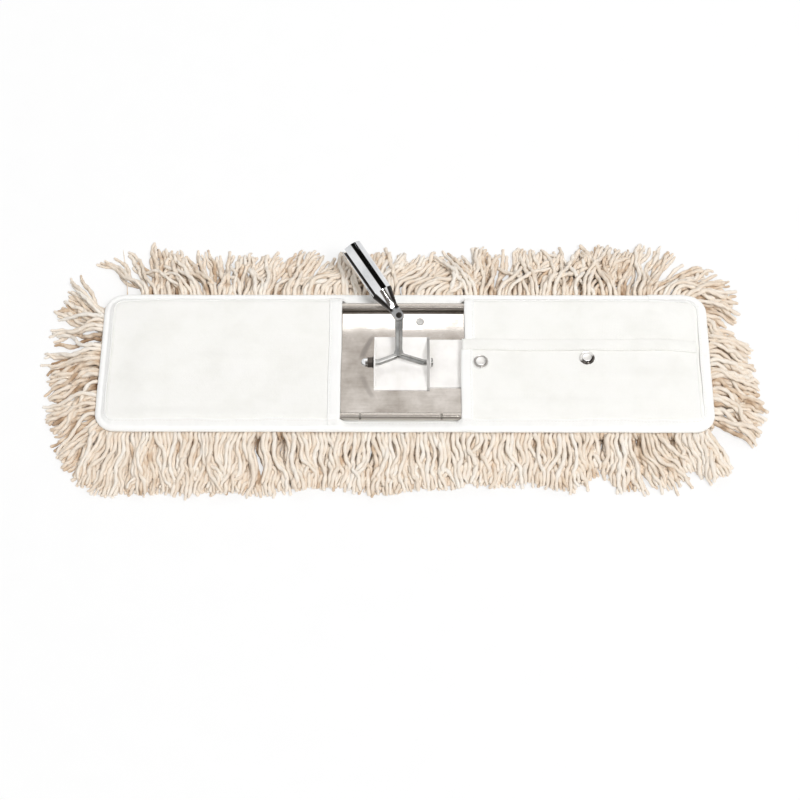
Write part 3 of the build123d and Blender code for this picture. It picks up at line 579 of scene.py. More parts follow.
def ripples(x, y, seed, length, count=9):
    """Slow seeded unevenness of a cloth, from -1 to 1, with ripples of about that length."""
    rng = np.random.default_rng(seed)
    total = np.zeros(np.broadcast(x, y).shape)
    for _ in range(count):
        angle = rng.uniform(0, pi)
        turn = 2 * pi / (length * rng.uniform(0.7, 1.5))
        total += np.sin(turn * (x * cos(angle) + y * sin(angle)) + rng.uniform(0, 2 * pi))
    return total / count**0.5 / 1.4


def crease(x, y, start, end, width, height):
    """A soft fold in cloth along a line from start to end."""
    ax, ay = start
    bx, by = end
    run = (bx - ax) ** 2 + (by - ay) ** 2
    along = ((x - ax) * (bx - ax) + (y - ay) * (by - ay)) / run
    near = np.clip(along, 0, 1)
    apart = np.hypot(x - ax - near * (bx - ax), y - ay - near * (by - ay))
    return height * np.exp(-((apart / width) ** 2)) * np.sin(pi * np.clip(near, 0.02, 0.98)) ** 0.5


def unevenness(x, y, waves, creases, sewn, free):
    """Ripples, as (height, seed, length), and folds of a cloth that is flat where sewn and uneven where free,
    both as distances from the cover's edge."""
    total = 0
    for height, seed, length in waves:
        total = total + height * ripples(x, y, seed, length)
    for fold in creases:
        total = total + crease(x, y, *fold)
    return total * smooth_step(sewn, free, edge_distance(x, y))


def pocket_level(x, y):
    """Middle of a pocket's cloth with no folds: up from the seam, over the rolls, lower at the ends."""
    end_share = smooth_step(10, 54, COVER_LENGTH / 2 - np.abs(x))
    top = POCKET_END_TOP + (POCKET_TOP - POCKET_END_TOP) * end_share
    climb = np.sin(pi / 2 * np.clip((edge_distance(x, y) - 5.8) / 8.0, 0, 1))
    return SEAM_MID + (top - SEAM_MID) * climb


def roll_sag(y, depth):
    """Hang of the cloth between the frame's two rolled edges."""
    return depth * np.clip(1 - ((y - ROLL_MIDDLE) / ROLL_SPAN) ** 2, 0, 1)


def near_snaps(x, y, spread):
    """1 at a press stud, falling to 0 away from it."""
    pull = np.zeros(np.broadcast(x, y).shape)
    for snap_x, snap_y in SNAPS:
        pull = np.maximum(pull, np.exp(-((x - snap_x) ** 2 + (y - snap_y) ** 2) / (2 * spread**2)))
    return pull


def canvas_height(x, y):
    """The canvas backing, nearly flat."""
    return CANVAS_MID + 0.12 * ripples(x, y, 2, 40)


def left_pocket_height(x, y):
    """The left pocket's cloth with its hang and folds."""
    uneven = unevenness(x, y, ((0.45, 3, 70), (0.16, 4, 24)), LEFT_FOLDS, 9, 22)
    return pocket_level(x, y) - roll_sag(y, 1.6) + uneven


def rear_panel_height(x, y):
    """The right pocket's rear panel, held up at the press studs."""
    uneven = unevenness(x, y, ((0.4, 5, 60), (0.15, 6, 22)), PANEL_FOLDS, 9, 22)
    return pocket_level(x, y) - (roll_sag(y, 1.5) - uneven) * (1 - near_snaps(x, y, 12))


def flap_height(x, y):
    """The flap's cloth: out of the front seam, over the front roll and across the rear panel."""
    lift = (2.35 - 0.6 * smooth_step(272, 290, x)) * smooth_step(-66, -46, y)
    uneven = unevenness(x, y, ((0.35, 8, 60), (0.14, 9, 20)), FLAP_FOLDS, 11, 26)
    level = pocket_level(x, y) + lift - roll_sag(y, 0.9) + uneven
    held = near_snaps(x, y, 13)
    return level * (1 - held) + FLAP_LEVEL * held


def mesh_piece(name, points, quads, triangles, finish, corner_map=None, tones=None):
    """A mesh from points in millimetres, with its finish, a flat map per corner and yarn tones."""
    mesh = bpy.data.meshes.new(name)
    corners = np.concatenate([quads.ravel(), triangles.ravel()]).astype(np.int32)
    starts = np.concatenate(
        [np.arange(len(quads)) * 4, len(quads) * 4 + np.arange(len(triangles)) * 3]
    ).astype(np.int32)
    mesh.vertices.add(len(points))
    mesh.vertices.foreach_set("co", (points * MM).astype(np.float32).ravel())
    mesh.loops.add(len(corners))
    mesh.loops.foreach_set("vertex_index", corners)
    mesh.polygons.add(len(starts))
    mesh.polygons.foreach_set("loop_start", starts)
    mesh.update(calc_edges=True)
    mesh.polygons.foreach_set("use_smooth", np.ones(len(starts), bool))
    if corner_map is not None:
        flat_map = mesh.uv_layers.new(name="flat")
        flat_map.uv.foreach_set("vector", (corner_map * MM).astype(np.float32).ravel())
    if tones is not None:
        mesh.attributes.new("tone", "FLOAT", "POINT").data.foreach_set("value", tones.astype(np.float32))
    mesh.materials.append(finish)
    made = bpy.data.objects.new(name, mesh)
    bpy.context.scene.collection.objects.link(made)
    return made


def cloth_piece(name, grid, finish, thickness, closed=False, keep=None):
    """A sheet given as rows of points, made as thick as its cloth.
    A closed one joins its last row to its first."""
    rows, columns = grid.shape[:2]
    loop = np.concatenate([grid, grid[:1]]) if closed else grid
    steps = np.linalg.norm(np.diff(loop, axis=0), axis=2).mean(axis=1)
    lanes = np.linalg.norm(np.diff(loop, axis=1), axis=2).mean(axis=0)
    run = np.concatenate([[0], np.cumsum(steps)])
    across = np.concatenate([[0], np.cumsum(lanes)])
    use = np.ones((len(loop) - 1, columns - 1), bool) if keep is None else keep
    row, column = np.nonzero(use)
    row_next = (row + 1) % rows if closed else row + 1
    quads = np.stack(
        [row * columns + column, row_next * columns + column,
         row_next * columns + column + 1, row * columns + column + 1], axis=1
    )
    corner_map = np.stack(
        [
            np.stack([run[row + ahead], across[column + aside]], 1)
            for ahead, aside in ((0, 0), (1, 0), (1, 1), (0, 1))
        ],
        axis=1,
    ).reshape(-1, 2)
    used, quads = np.unique(quads, return_inverse=True)
    quads = quads.reshape(-1, 4)
    points = grid.reshape(-1, 3)[used]
    made = mesh_piece(name, points, quads, np.zeros((0, 3), int), finish, corner_map)
    shell = made.modifiers.new("cloth_thickness", "SOLIDIFY")
    shell.thickness = thickness * MM
    shell.offset = 0.0
    shell.use_quality_normals = True
    return made


def cloth_panel(name, rows, lanes, height, finish, keep=None):
    """A panel of the cover: rows are places along it, lanes are shares of its half width."""
    x = np.broadcast_to(rows[:, None], (len(rows), len(lanes)))
    y = lanes[None, :] * half_width_at(x)
    return cloth_piece(name, np.stack([x, y, height(x, y)], -1), finish, CLOTH_THICKNESS, keep=keep)


def edge_table(step=0.5):
    """The cover's edge walked anticlockwise from the front left: place, point, outward direction and bend."""
    half_x = COVER_LENGTH / 2 - COVER_CORNER
    half_y = COVER_WIDTH / 2 - COVER_CORNER
    corner_run = COVER_CORNER * pi / 2
    legs = (
        (2 * half_x, -half_x, -half_y, 0), (corner_run, half_x, -half_y, 1),
        (2 * half_y, half_x, -half_y, 0), (corner_run, half_x, half_y, 1),
        (2 * half_x, half_x, half_y, 0), (corner_run, -half_x, half_y, 1),
        (2 * half_y, -half_x, half_y, 0), (corner_run, -half_x, -half_y, 1),
    )
    rows = []
    begun = 0.0
    facing = -pi / 2
    for length, x, y, turns in legs:
        walked = np.arange(0, length, step)
        angle = facing + turns * walked / COVER_CORNER
        out = np.stack([np.cos(angle), np.sin(angle)], 1)
        ahead = np.array([-sin(facing), cos(facing)]) * (1 - turns)
        point = np.array([x, y]) + out * COVER_CORNER + walked[:, None] * ahead
        rows.append(np.column_stack([begun + walked, point, out, np.full(len(walked), turns)]))
        begun += length
        facing += turns * pi / 2
    return np.concatenate(rows), begun


EDGE, EDGE_RUN = edge_table()


def edge_at(place):
    """Point and outward direction at a place along the cover's edge."""
    wrapped = np.mod(place, EDGE_RUN)
    closed = np.concatenate([EDGE, EDGE[:1] + np.array([EDGE_RUN, 0, 0, 0, 0, 0])])
    found = [np.interp(wrapped, closed[:, 0], closed[:, k]) for k in range(1, 5)]
    return np.stack(found[:2], -1), np.stack(found[2:], -1)


def edge_wave(place, seed, waves):
    """A seeded wave round the edge from (length, height) pairs, meeting itself at the end."""
    phases = np.random.default_rng(seed).uniform(0, 2 * pi, len(waves))
    total = np.zeros(np.shape(place))
    for (length, height), phase in zip(waves, phases):
        turns = max(1, round(EDGE_RUN / length))
        total = total + height * np.sin(2 * pi * turns * place / EDGE_RUN + phase)
    return total


def tape_level(x, y, inward):
    """Middle of the binding tape's upper side: flat on the canvas at the swivel, up the pockets elsewhere."""
    low = 19.9 + 1.4 * (1 - smooth_step(3.5, 8.5, inward))
    over_left = 1 - smooth_step(LEFT_MOUTH - 1, LEFT_MOUTH + 7, x)
    mouth = np.where(y < 0, FLAP_MOUTH, RIGHT_MOUTH)
    over_right = smooth_step(mouth - 7, mouth + 1, x)
    on_pocket = np.maximum(over_left, over_right)
    high = np.maximum(pocket_level(x, y) + 1.05, low)
    left_band = smooth_step(LEFT_MOUTH - 14, LEFT_MOUTH - 11, x)
    left_band = left_band * (1 - smooth_step(LEFT_MOUTH, LEFT_MOUTH + 4, x))
    right_band = smooth_step(mouth - 4, mouth, x) * (1 - smooth_step(mouth + 10, mouth + 13, x))
    return low + (high - low) * on_pocket + 0.85 * np.maximum(left_band, right_band)


def binding_rows(place):
    """Rows across the tape folded over the cover's edge, drawn in along its stitching and puckered."""
    point, out = edge_at(place)
    under = ((6.8, 17.1), (4.6, 17.0), (2.4, 17.1), (1.0, 17.5), (0.3, 18.2), (0.05, 19.0), (0.25, 19.9))
    over = (0.8, 1.7, 2.9, 4.2, 5.5, 6.6, 7.6, 8.4, BINDING_SEAM, 9.4, 10.0, BINDING_COVER)
    pucker = edge_wave(place, 21, ((9, 0.10), (6.5, 0.08), (13, 0.10), (31, 0.12)))
    wander = edge_wave(place, 22, ((85, 0.30), (38, 0.20), (150, 0.25)))
    lanes = []
    for inward, z in under:
        spot = point - out * (inward + 0.3 * wander * (inward < 1))[:, None]
        lanes.append(np.column_stack([spot, np.full(len(place), z) + 0.3 * pucker]))
    for inward in over:
        reach = inward + wander * smooth_step(4, 10, inward)
        spot = point - out * reach[:, None]
        level = tape_level(spot[:, 0], spot[:, 1], inward)
        rounded = 1.0 * (1 - smooth_step(0.4, 3.2, inward)) ** 2
        seam_dip = 0.4 * np.exp(-(((inward - BINDING_SEAM) / 0.7) ** 2))
        lanes.append(np.column_stack([spot, level - rounded - seam_dip + pucker * smooth_step(0, 6, inward)]))
    return np.stack(lanes, axis=1)


def binding_end(finish):
    """The tape's cut end, lapped over its beginning on the rear edge and turned in a little further."""
    place = np.linspace(LAP_START, LAP_START + LAP_LENGTH, 24)
    grid = binding_rows(place)[:, 4:]
    out = edge_at(place)[1]
    settle = smooth_step(0, 7, place - LAP_START)[::-1]
    lift = np.linspace(0.3, 1.0, grid.shape[1])
    grid[:, :, 2] += 0.95 * lift[None, :] * (0.35 + 0.65 * settle)[:, None]
    grid[:, :, :2] -= 1.1 * (np.linspace(-0.8, 1, grid.shape[1])[None, :, None] * out[:, None, :])
    return cloth_piece("edge_binding_tape_end", grid, finish, TAPE_THICKNESS)


def mouth_tape(name, mouth, into, width, height, low, high, finish):
    """Tape folded over a pocket's mouth edge; into is +1 or -1, the way into the pocket."""
    section = (
        (width, 1.0), (width - 1.2, 1.02), (width - 2.0, 0.75), (width - 2.8, 1.02), (width / 2, 1.06),
        (1.2, 1.05), (-0.2, 0.9), (-0.8, 0.35), (-0.8, -0.35), (-0.2, -0.9), (1.5, -1.05),
        (width / 2, -1.05), (width - 2.5, -1.0),
    )
    y = np.linspace(low, high, 110)
    lanes = []
    for inward, off in section:
        x = np.full(len(y), mouth + into * inward)
        cloth_x = np.full(len(y), mouth + into * max(inward, 0.0))
        z = height(cloth_x, y)
        slope = (height(cloth_x, y + 0.4) - height(cloth_x, y - 0.4)) / 0.8
        length = np.sqrt(1 + slope**2)
        pucker = 0.12 * np.sin(y / 1.4 + inward) * (inward > 2) * np.sign(off)
        lanes.append(
            np.column_stack([x + 0.2 * np.sin(y / 11), y - slope / length * off, z + (off + pucker) / length])
        )
    grid = np.stack(lanes, axis=1)
    return cloth_piece(name, grid, finish, TAPE_THICKNESS), grid


def thread_row(line, raised=0.45, pitch=3.4, length=2.6, radius=0.32, sides=6):
    """Stitches along a line of points on a cloth: points and faces of short, sunken thread ends."""
    run = np.concatenate([[0], np.cumsum(np.linalg.norm(np.diff(line, axis=0), axis=1))])
    rings = ((-0.5, 0.25, -0.9), (-0.36, 0.85, -0.1), (0.0, 1.0, 0.15), (0.36, 0.85, -0.1), (0.5, 0.25, -0.9))
    points, quads = [], []
    for middle in np.arange(pitch / 2, run[-1], pitch):
        begin, end = (
            np.array([np.interp(middle + side, run, line[:, k]) for k in range(3)])
            for side in (-length / 2, length / 2)
        )
        ahead = end - begin
        ahead /= np.linalg.norm(ahead)
        sideways = np.cross(ahead, UPWARD)
        sideways /= np.linalg.norm(sideways)
        up = np.cross(sideways, ahead)
        centre = (begin + end) / 2
        base = len(points)
        for along, wide, high in rings:
            spot = centre + ahead * along * length + up * (raised + high * radius)
            for k in range(sides):
                turn = 2 * pi * k / sides
                points.append(spot + (sideways * cos(turn) + up * sin(turn) * 0.8) * radius * wide)
        for ring in range(len(rings) - 1):
            for k in range(sides):
                a = base + ring * sides + k
                b = base + ring * sides + (k + 1) % sides
                quads.append((a, b, b + sides, a + sides))
        last = base + (len(rings) - 1) * sides
        quads.append((base + 3, base + 2, base + 1, base))
        quads.append((base, base + 5, base + 4, base + 3))
        quads.append((last, last + 1, last + 2, last + 3))
        quads.append((last + 3, last + 4, last + 5, last))
    return np.array(points), np.array(quads)


def stitching(name, rows, finish):
    """Several rows of stitches as one piece."""
    points, quads, count = [], [], 0
    for row_points, row_quads in rows:
        points.append(row_points)
        quads.append(row_quads + count)
        count += len(row_points)
    return mesh_piece(name, np.concatenate(points), np.concatenate(quads), np.zeros((0, 3), int), finish)


def stud_caps(crown_finish, stud_skirt_shade_finish, sides=56):
    """Press-stud caps turned from a profile: a bright crown, a skirt round it painted dark as shade and a
    rolled rim.
    """
    points, quads, triangles = [], [], []
    for snap_x, snap_y in SNAPS:
        base = len(points)
        points.append((snap_x, snap_y, STUD_SEAT + STUD_PROFILE[0][1]))
        for out, up in STUD_PROFILE[1:]:
            for k in range(sides):
                turn = 2 * pi * k / sides
                points.append((snap_x + out * cos(turn), snap_y + out * sin(turn), STUD_SEAT + up))
        for k in range(sides):
            triangles.append((base, base + 1 + k, base + 1 + (k + 1) % sides))
        for ring in range(len(STUD_PROFILE) - 2):
            first = base + 1 + ring * sides
            for k in range(sides):
                k_next = (k + 1) % sides
                quads.append((first + k, first + sides + k, first + sides + k_next, first + k_next))
    made = mesh_piece(
        "press_stud_caps_turned", np.array(points), np.array(quads), np.array(triangles), crown_finish
    )
    made.data.materials.append(stud_skirt_shade_finish)
    per_cap = (len(STUD_PROFILE) - 2) * sides
    for face in made.data.polygons[: len(quads)]:
        low, high = STUD_SHADE_RINGS[face.index // per_cap]
        face.material_index = int(low <= face.index % per_cap // sides <= high)
    return made


def near_pairs(points, owner, reach):
    """Pairs of points of different yarns that are nearer than reach."""
    cell = np.floor(points / reach).astype(np.int64)
    cell -= cell.min(axis=0) - 1
    span = cell.max(axis=0) + 2
    key = (cell[:, 0] * span[1] + cell[:, 1]) * span[2] + cell[:, 2]
    order = np.argsort(key, kind="stable")
    ranked = key[order]
    ones, others = [], []
    for dx, dy, dz in np.ndindex(3, 3, 3):
        shift = ((dx - 1) * span[1] + dy - 1) * span[2] + dz - 1
        if shift < 0:
            continue
        begin = np.searchsorted(ranked, key + shift, "left")
        count = np.searchsorted(ranked, key + shift, "right") - begin
        for k in range(count.max()):
            one = np.nonzero(count > k)[0]
            other = order[begin[one] + k]
            if shift == 0:
                one, other = one[one < other], other[one < other]
            ones.append(one)
            others.append(other)
    one = np.concatenate(ones)
    other = np.concatenate(others)
    apart = owner[one] != owner[other]
    return one[apart], other[apart]


def settle_yarn(paths, radius, pinned, ceiling, rounds, weight, spring):
    """Lets yarns sink, lie on each other and bend, without passing through each other or the floor.
    They stand stiff out of the seam and go limp further out, and their crimp springs them back sideways."""
    count, joints = paths.shape[:2]
    start = paths.copy()
    steps = np.linalg.norm(np.diff(paths, axis=1), axis=2)
    owner = np.repeat(np.arange(count), joints)
    thickness = np.repeat(radius, joints)
    limp = smooth_step(0.08, 0.5, np.linspace(0, 1, joints))
    for turn in range(rounds):
        paths[:, pinned:, 2] -= weight * limp[pinned:]
        paths[:, pinned:, :2] += spring * (start[:, pinned:, :2] - paths[:, pinned:, :2])
        middle = (paths[:, :-2] + paths[:, 2:]) / 2
        paths[:, 1:-1] += 0.03 * (middle - paths[:, 1:-1])
        flat = paths.reshape(-1, 3)
        if turn % 3 == 0:
            one, other = near_pairs(flat, owner, 2.2 * radius.max())
        gap = flat[one] - flat[other]
        apart = np.linalg.norm(gap, axis=1) + 1e-6
        needed = (thickness[one] + thickness[other]) * 0.94
        push = np.clip(needed - apart, 0, None)[:, None] * gap / apart[:, None] * 0.32
        np.add.at(flat, one, push)
        np.add.at(flat, other, -push)
        paths = flat.reshape(count, joints, 3)
        for k in range(joints - 1):
            leg = paths[:, k + 1] - paths[:, k]
            length = np.linalg.norm(leg, axis=1) + 1e-6
            paths[:, k + 1] = paths[:, k] + leg * (steps[:, k] / length)[:, None]
        paths[:, :, 2] = np.maximum(paths[:, :, 2], radius[:, None] * 1.02)
        paths[:, :, 2] = np.minimum(paths[:, :, 2], ceiling(paths))
        paths[:, :pinned] = start[:, :pinned]
    return paths


def smooth_paths(paths, rings):
    """Each yarn's line drawn through its joints with more points."""
    joints = paths.shape[1]
    first = 2 * paths[:, :1] - paths[:, 1:2]
    last = 2 * paths[:, -1:] - paths[:, -2:-1]
    padded = np.concatenate([first, paths, last], axis=1)
    place = np.linspace(0, joints - 1, rings)
    leg = np.minimum(place.astype(int), joints - 2)
    t = (place - leg)[None, :, None]
    a, b, c, d = (padded[:, leg + k] for k in range(4))
    return 0.5 * (
        2 * b + (c - a) * t + (2 * a - 5 * b + 4 * c - d) * t**2 + (3 * b - a - 3 * c + d) * t**3
    )


def yarn_piece(name, paths, radius, tone, finish, rings, sides, seed):
    """Yarns as twisted, plied strands, a little drawn out towards their rounded cut ends."""
    rng = np.random.default_rng(seed)
    count = len(paths)
    line = smooth_paths(paths, rings)
    ahead = np.gradient(line, axis=1)
    ahead /= np.linalg.norm(ahead, axis=2, keepdims=True)
    side = np.cross(ahead[:, 0], np.array([0.13, 0.21, 1.0]))
    side_at = []
    for k in range(rings):
        side = side - (side * ahead[:, k]).sum(1, keepdims=True) * ahead[:, k]
        side /= np.linalg.norm(side, axis=1, keepdims=True)
        side_at.append(side)
    side = np.stack(side_at, axis=1)
    other = np.cross(ahead, side)
    run = np.concatenate(
        [np.zeros((count, 1)), np.cumsum(np.linalg.norm(np.diff(line, axis=1), axis=2), axis=1)], axis=1
    )
    width = radius[:, None] * (
        1 + 0.07 * np.sin(run / rng.uniform(5, 11, (count, 1)) + rng.uniform(0, 6.3, (count, 1)))
    )
    width = width * (1 - rng.uniform(0.1, 0.4, (count, 1)) * smooth_step(0.82, 1.0, run / run[:, -1:]))
    # A cut end is drawn out over three short rings and closed.
    ends = ((0.35, 0.97), (0.75, 0.72), (0.95, 0.35))
    line = np.concatenate(
        [line] + [line[:, -1:] + ahead[:, -1:] * (radius[:, None, None] * out) for out, _ in ends], axis=1
    )
    width = np.concatenate([width] + [width[:, -1:] * keep for _, keep in ends], axis=1)
    run = np.concatenate([run] + [run[:, -1:] + radius[:, None] * out for out, _ in ends], axis=1)
    side = np.concatenate([side] + [side[:, -1:]] * len(ends), axis=1)
    other = np.concatenate([other] + [other[:, -1:]] * len(ends), axis=1)
    total = rings + len(ends)
    spin = 2 * pi * run / PLY_TURN + rng.uniform(0, 2 * pi, (count, 1))
    around = 2 * pi * np.arange(sides) / sides
    lobes = 1 + 0.15 * np.cos(PLIES * around)
    turn = spin[:, :, None] + around[None, None, :]
    out = width[:, :, None] * lobes[None, None, :]
    tube = (
        line[:, :, None, :]
        + (out * np.cos(turn))[..., None] * side[:, :, None, :]
        + (out * np.sin(turn))[..., None] * other[:, :, None, :]
    )
    root = line[:, 0] - ahead[:, 0] * radius[:, None] * 0.4
    tip = line[:, -1] + ahead[:, -1] * radius[:, None] * 0.04
    each = total * sides + 2
    points = np.concatenate([tube.reshape(count, -1, 3), root[:, None], tip[:, None]], axis=1)
    ring = np.arange(total - 1)[:, None] * sides
    k = np.arange(sides)
    k_next = (k + 1) % sides
    quads = np.stack(
        [ring + k, ring + k_next, ring + sides + k_next, ring + sides + k], axis=-1
    ).reshape(-1, 4)
    last = (total - 1) * sides
    triangles = np.concatenate(
        [
            np.stack([k_next, k, np.full(sides, each - 2)], 1),
            np.stack([last + k, last + k_next, np.full(sides, each - 1)], 1),
        ]
    )
    offset = (np.arange(count) * each)[:, None, None]
    share = np.linspace(0, 1, total)[None, :]
    ring_tone = tone[:, 1:] + (tone[:, :1] - tone[:, 1:]) * (1 - share) ** 2.2
    tones = np.concatenate([np.repeat(ring_tone, sides, axis=1), tone], axis=1).reshape(-1)
    return mesh_piece(
        name, points.reshape(-1, 3), (quads[None] + offset).reshape(-1, 4),
        (triangles[None] + offset).reshape(-1, 3), finish, tones=tones,
    )


def under_cover(paths):
    """The highest a fringe yarn's middle may be: below the binding inside the cover's edge, free outside."""
    inside = edge_distance(paths[..., 0], paths[..., 1])
    return 14.4 + 12.0 * smooth_step(-0.5, 7.0, -inside)


def under_canvas(paths):
    """The highest a pile yarn's middle may be."""
    return np.full(paths.shape[:2], PILE_ROOT)


def round_edge(point, out, front, rear, left, right):
    """A value from the tables of the four sides, which run into each other at the corners."""
    x, y = point.T
    lengthwise = np.where(out[:, 1] < 0, np.interp(x, *zip(*front)), np.interp(x, *zip(*rear)))
    endwise = np.where(out[:, 0] < 0, np.interp(y, *zip(*left)), np.interp(y, *zip(*right)))
    share = out[:, 1] ** 2
    return lengthwise * share + endwise * (1 - share)


def tufts(place, layer, seed, low, high):
    """Gathers each layer's yarns into tufts and gives every tuft one value between low and high."""
    rng = np.random.default_rng(seed)
    value = np.zeros(len(place))
    for number in range(len(FRINGE_ENDS)):
        seams = np.cumsum(rng.uniform(8, 22, 240))
        each = rng.uniform(low, high, 241)
        here = layer == number
        value[here] = each[np.searchsorted(seams, place[here])]
    return value


def fringe_yarns(joints=22):
    """The fringe's yarns in three layers round the edge, settled onto each other and the floor."""
    rng = np.random.default_rng(11)
    # The corners are sewn closest, and the front closer than the other sides.
    density = 1.0 + 0.75 * EDGE[:, 5] + 0.15 * (EDGE[:, 4] < -0.7)
    share = np.cumsum(density)
    share = share / share[-1]
    places, layers = [], []
    for layer, ends in enumerate(FRINGE_ENDS):
        wanted = (np.arange(ends) + 0.33 * layer + rng.uniform(-0.3, 0.3, ends)) / ends
        places.append(np.interp(np.mod(wanted, 1), share, EDGE[:, 0]))
        layers.append(np.full(ends, layer))
    place = np.concatenate(places)
    layer = np.concatenate(layers)
    point, out = edge_at(place)
    # Most of the yarn at the rear left corner is worn to stubs; what is left there is thin.
    worn_x, worn_y, worn_radius = WORN_CORNER
    worn = np.hypot(point[:, 0] - worn_x, point[:, 1] - worn_y) < worn_radius
    stub = worn & (rng.uniform(0, 1, len(place)) > 0.09)
    # Away from the front the upper layers are thin, so that one looks down between the yarns.
    bare = LAYER_BARE[layer] * (1 - np.clip(-out[:, 1], 0, 1)) * (1 + 0.3 * np.clip(-out[:, 0], 0, 1))
    kept = rng.uniform(0, 1, len(place)) > bare
    for gap_x, gap_y, gap_radius, lowest in FRINGE_GAPS:
        stub |= (np.hypot(point[:, 0] - gap_x, point[:, 1] - gap_y) < gap_radius) & (layer >= lowest)
    kept |= stub
    place, layer, point, out, worn, stub = (each[kept] for each in (place, layer, point, out, worn, stub))
    count = len(place)
    along = np.stack([-out[:, 1], out[:, 0]], 1)
    front = np.clip(-out[:, 1], 0, 1)
    left = np.clip(-out[:, 0], 0, 1)
    # The front was combed straight on the floor; the other sides lie in tufts across each other.
    tangle = LAYER_TANGLE[layer] * (1 - 0.72 * front)
    heading = np.radians(round_edge(point, out, FRONT_LEAN, REAR_LEAN, LEFT_LEAN, RIGHT_LEAN))
    heading = heading + tangle * tufts(place, layer, 35, -1, 1)
    heading = heading + rng.normal(0, 1, count) * (0.07 + 0.16 * tangle)
    reach = round_edge(point, out, FRONT_REACH, REAR_REACH, LEFT_REACH, RIGHT_REACH)
    reach = reach + edge_wave(place, 31, ((61, 1.5), (27, 1.5))) + rng.normal(0, 2.5, count)
    reach = reach / np.sqrt(0.3 + 0.7 * np.cos(1.45 * heading.clip(-0.75, 0.75)))
    curl = 0.26 + 0.14 * front + rng.normal(0, 1, count) * (0.16 - 0.07 * front)
    curl_rate = 1.8 + tufts(place, layer, 36, -0.3, 0.3) + rng.normal(0, 0.15, count)
    curl_start = edge_wave(place, 37, ((210, 2.0), (88, 1.2))) + tufts(place, layer, 38, -1.3, 1.3)
    curl_start = curl_start + rng.normal(0, 0.35, count)
    root_z = LAYER_ROOT[layer] + rng.uniform(-0.5, 0.3, count)
    lift = 3.0 + 4.0 * (1 - front)
    arch = LAYER_ARCH[layer] + lift * tufts(place, layer, 39, 0, 1) + rng.uniform(-0.6, 0.6, count)
    reach[stub] = STUB_REACH
    curl[stub] = 0
    length = reach + HEADER
    step = length / (joints - 1)
    paths = np.zeros((count, joints, 3))
    paths[:, 0, :2] = point - out * HEADER
    for k in range(1, joints):
        t = k / (joints - 1)
        turn = heading * smooth_step(0.06, 0.50, t) * 1.45
        turn = turn + curl * np.sin(2 * pi * curl_rate * t + curl_start) * smooth_step(0.10, 0.30, t)
        way = out * np.cos(turn)[:, None] + along * np.sin(turn)[:, None]
        paths[:, k, :2] = paths[:, k - 1, :2] + way * step[:, None]
    # Each yarn comes down from its root in an arch, and bulges a little where it leaves the binding.
    t = np.linspace(0, 1, joints)[None, :]
    paths[:, :, 2] = root_z[:, None] * (1 - t**1.9) + arch[:, None] * np.sin(pi * t**0.7) ** 1.2 + YARN_LIFT
    bulge = smooth_step(HEADER - 1, HEADER + 4, t * length[:, None])
    paths[:, :, 2] += 2.6 * bulge * (1 - smooth_step(0.3, 0.7, t))
    paths[stub, :, 2] = root_z[stub, None] * (1 - 0.3 * t**2) + YARN_LIFT
    radius = rng.normal(YARN_RADIUS, 0.14, count).clip(1.65, 2.35)
    radius[worn & ~stub] = rng.uniform(0.6, 0.95, (worn & ~stub).sum())
    paths = settle_yarn(paths, radius, pinned=2, ceiling=under_cover, rounds=54, weight=0.12, spring=0.07)
    tone = 0.60 - 0.11 * np.clip(out[:, 0], 0, 1) + tufts(place, layer, 34, -0.10, 0.10)
    tone = np.clip(tone + rng.normal(0, 0.14, count), 0.40, 0.95)
    tone[stub] -= 0.2
    # Yarn that lies below is painted darker towards its root, as shade; the top layer is painted lighter, as
    # light.
    shade_weight = (1 - 0.40 * front) * (1 + 0.35 * np.abs(out[:, 0]))
    root_tone = np.clip(tone - ROOT_PAINTED_SHADE[layer] * shade_weight, 0, 1)
    tip_tone = np.clip(tone - TIP_PAINTED_SHADE[layer] - LEFT_TIP_PAINTED_SHADE[layer] * left, 0, 1)
    return paths, radius, np.stack([root_tone, tip_tone], 1), out


def pile_yarns(joints=11):
    """Rows of yarn ends sewn under the canvas and pressed flat by the floor."""
    rng = np.random.default_rng(12)
    x, y, lean = [], [], []
    for number, row in enumerate(np.linspace(-52, 52, 8)):
        places = np.arange(-283, 284, 6.4)
        x.append(places + rng.uniform(-1.2, 1.2, len(places)))
        y.append(np.full(len(places), row))
        lean.append(np.full(len(places), 1.0 if row > 0 else -1.0) * (1 if number % 2 else 0.8))
    x, y, lean = np.concatenate(x), np.concatenate(y), np.concatenate(lean)
    count = len(x)
    heading = 0.5 * np.sin(x / 23 + y) + rng.normal(0, 0.45, count)
    curl = rng.normal(0, 0.5, count)
    step = rng.uniform(2.6, 3.1, count)
    paths = np.zeros((count, joints, 3))
    paths[:, 0] = np.column_stack([x, y, np.full(count, PILE_ROOT)])
    for k in range(1, joints):
        t = k / (joints - 1)
        dive = (pi / 2) * (1 - smooth_step(0.05, 0.62, t))
        turn = heading + curl * np.sin(3 * t)
        way = np.column_stack(
            [np.sin(turn) * np.cos(dive), np.cos(turn) * lean * np.cos(dive), -np.full(count, np.sin(dive))]
        )
        paths[:, k] = paths[:, k - 1] + way * step[:, None]
    paths[:, :, 2] = np.maximum(paths[:, :, 2], 2.3)
    paths[:, :, 0] = paths[:, :, 0].clip(-PILE_HALF_LENGTH, PILE_HALF_LENGTH)
    paths[:, :, 1] = paths[:, :, 1].clip(-PILE_HALF_WIDTH, PILE_HALF_WIDTH)
    radius = rng.normal(YARN_RADIUS, 0.12, count).clip(1.8, 2.5)
    paths = settle_yarn(paths, radius, pinned=1, ceiling=under_canvas, rounds=40, weight=0.15, spring=0.03)
    tone = np.clip(rng.normal(0.45, 0.2, count), 0, 1)
    return paths, radius, np.stack([tone, tone], 1)


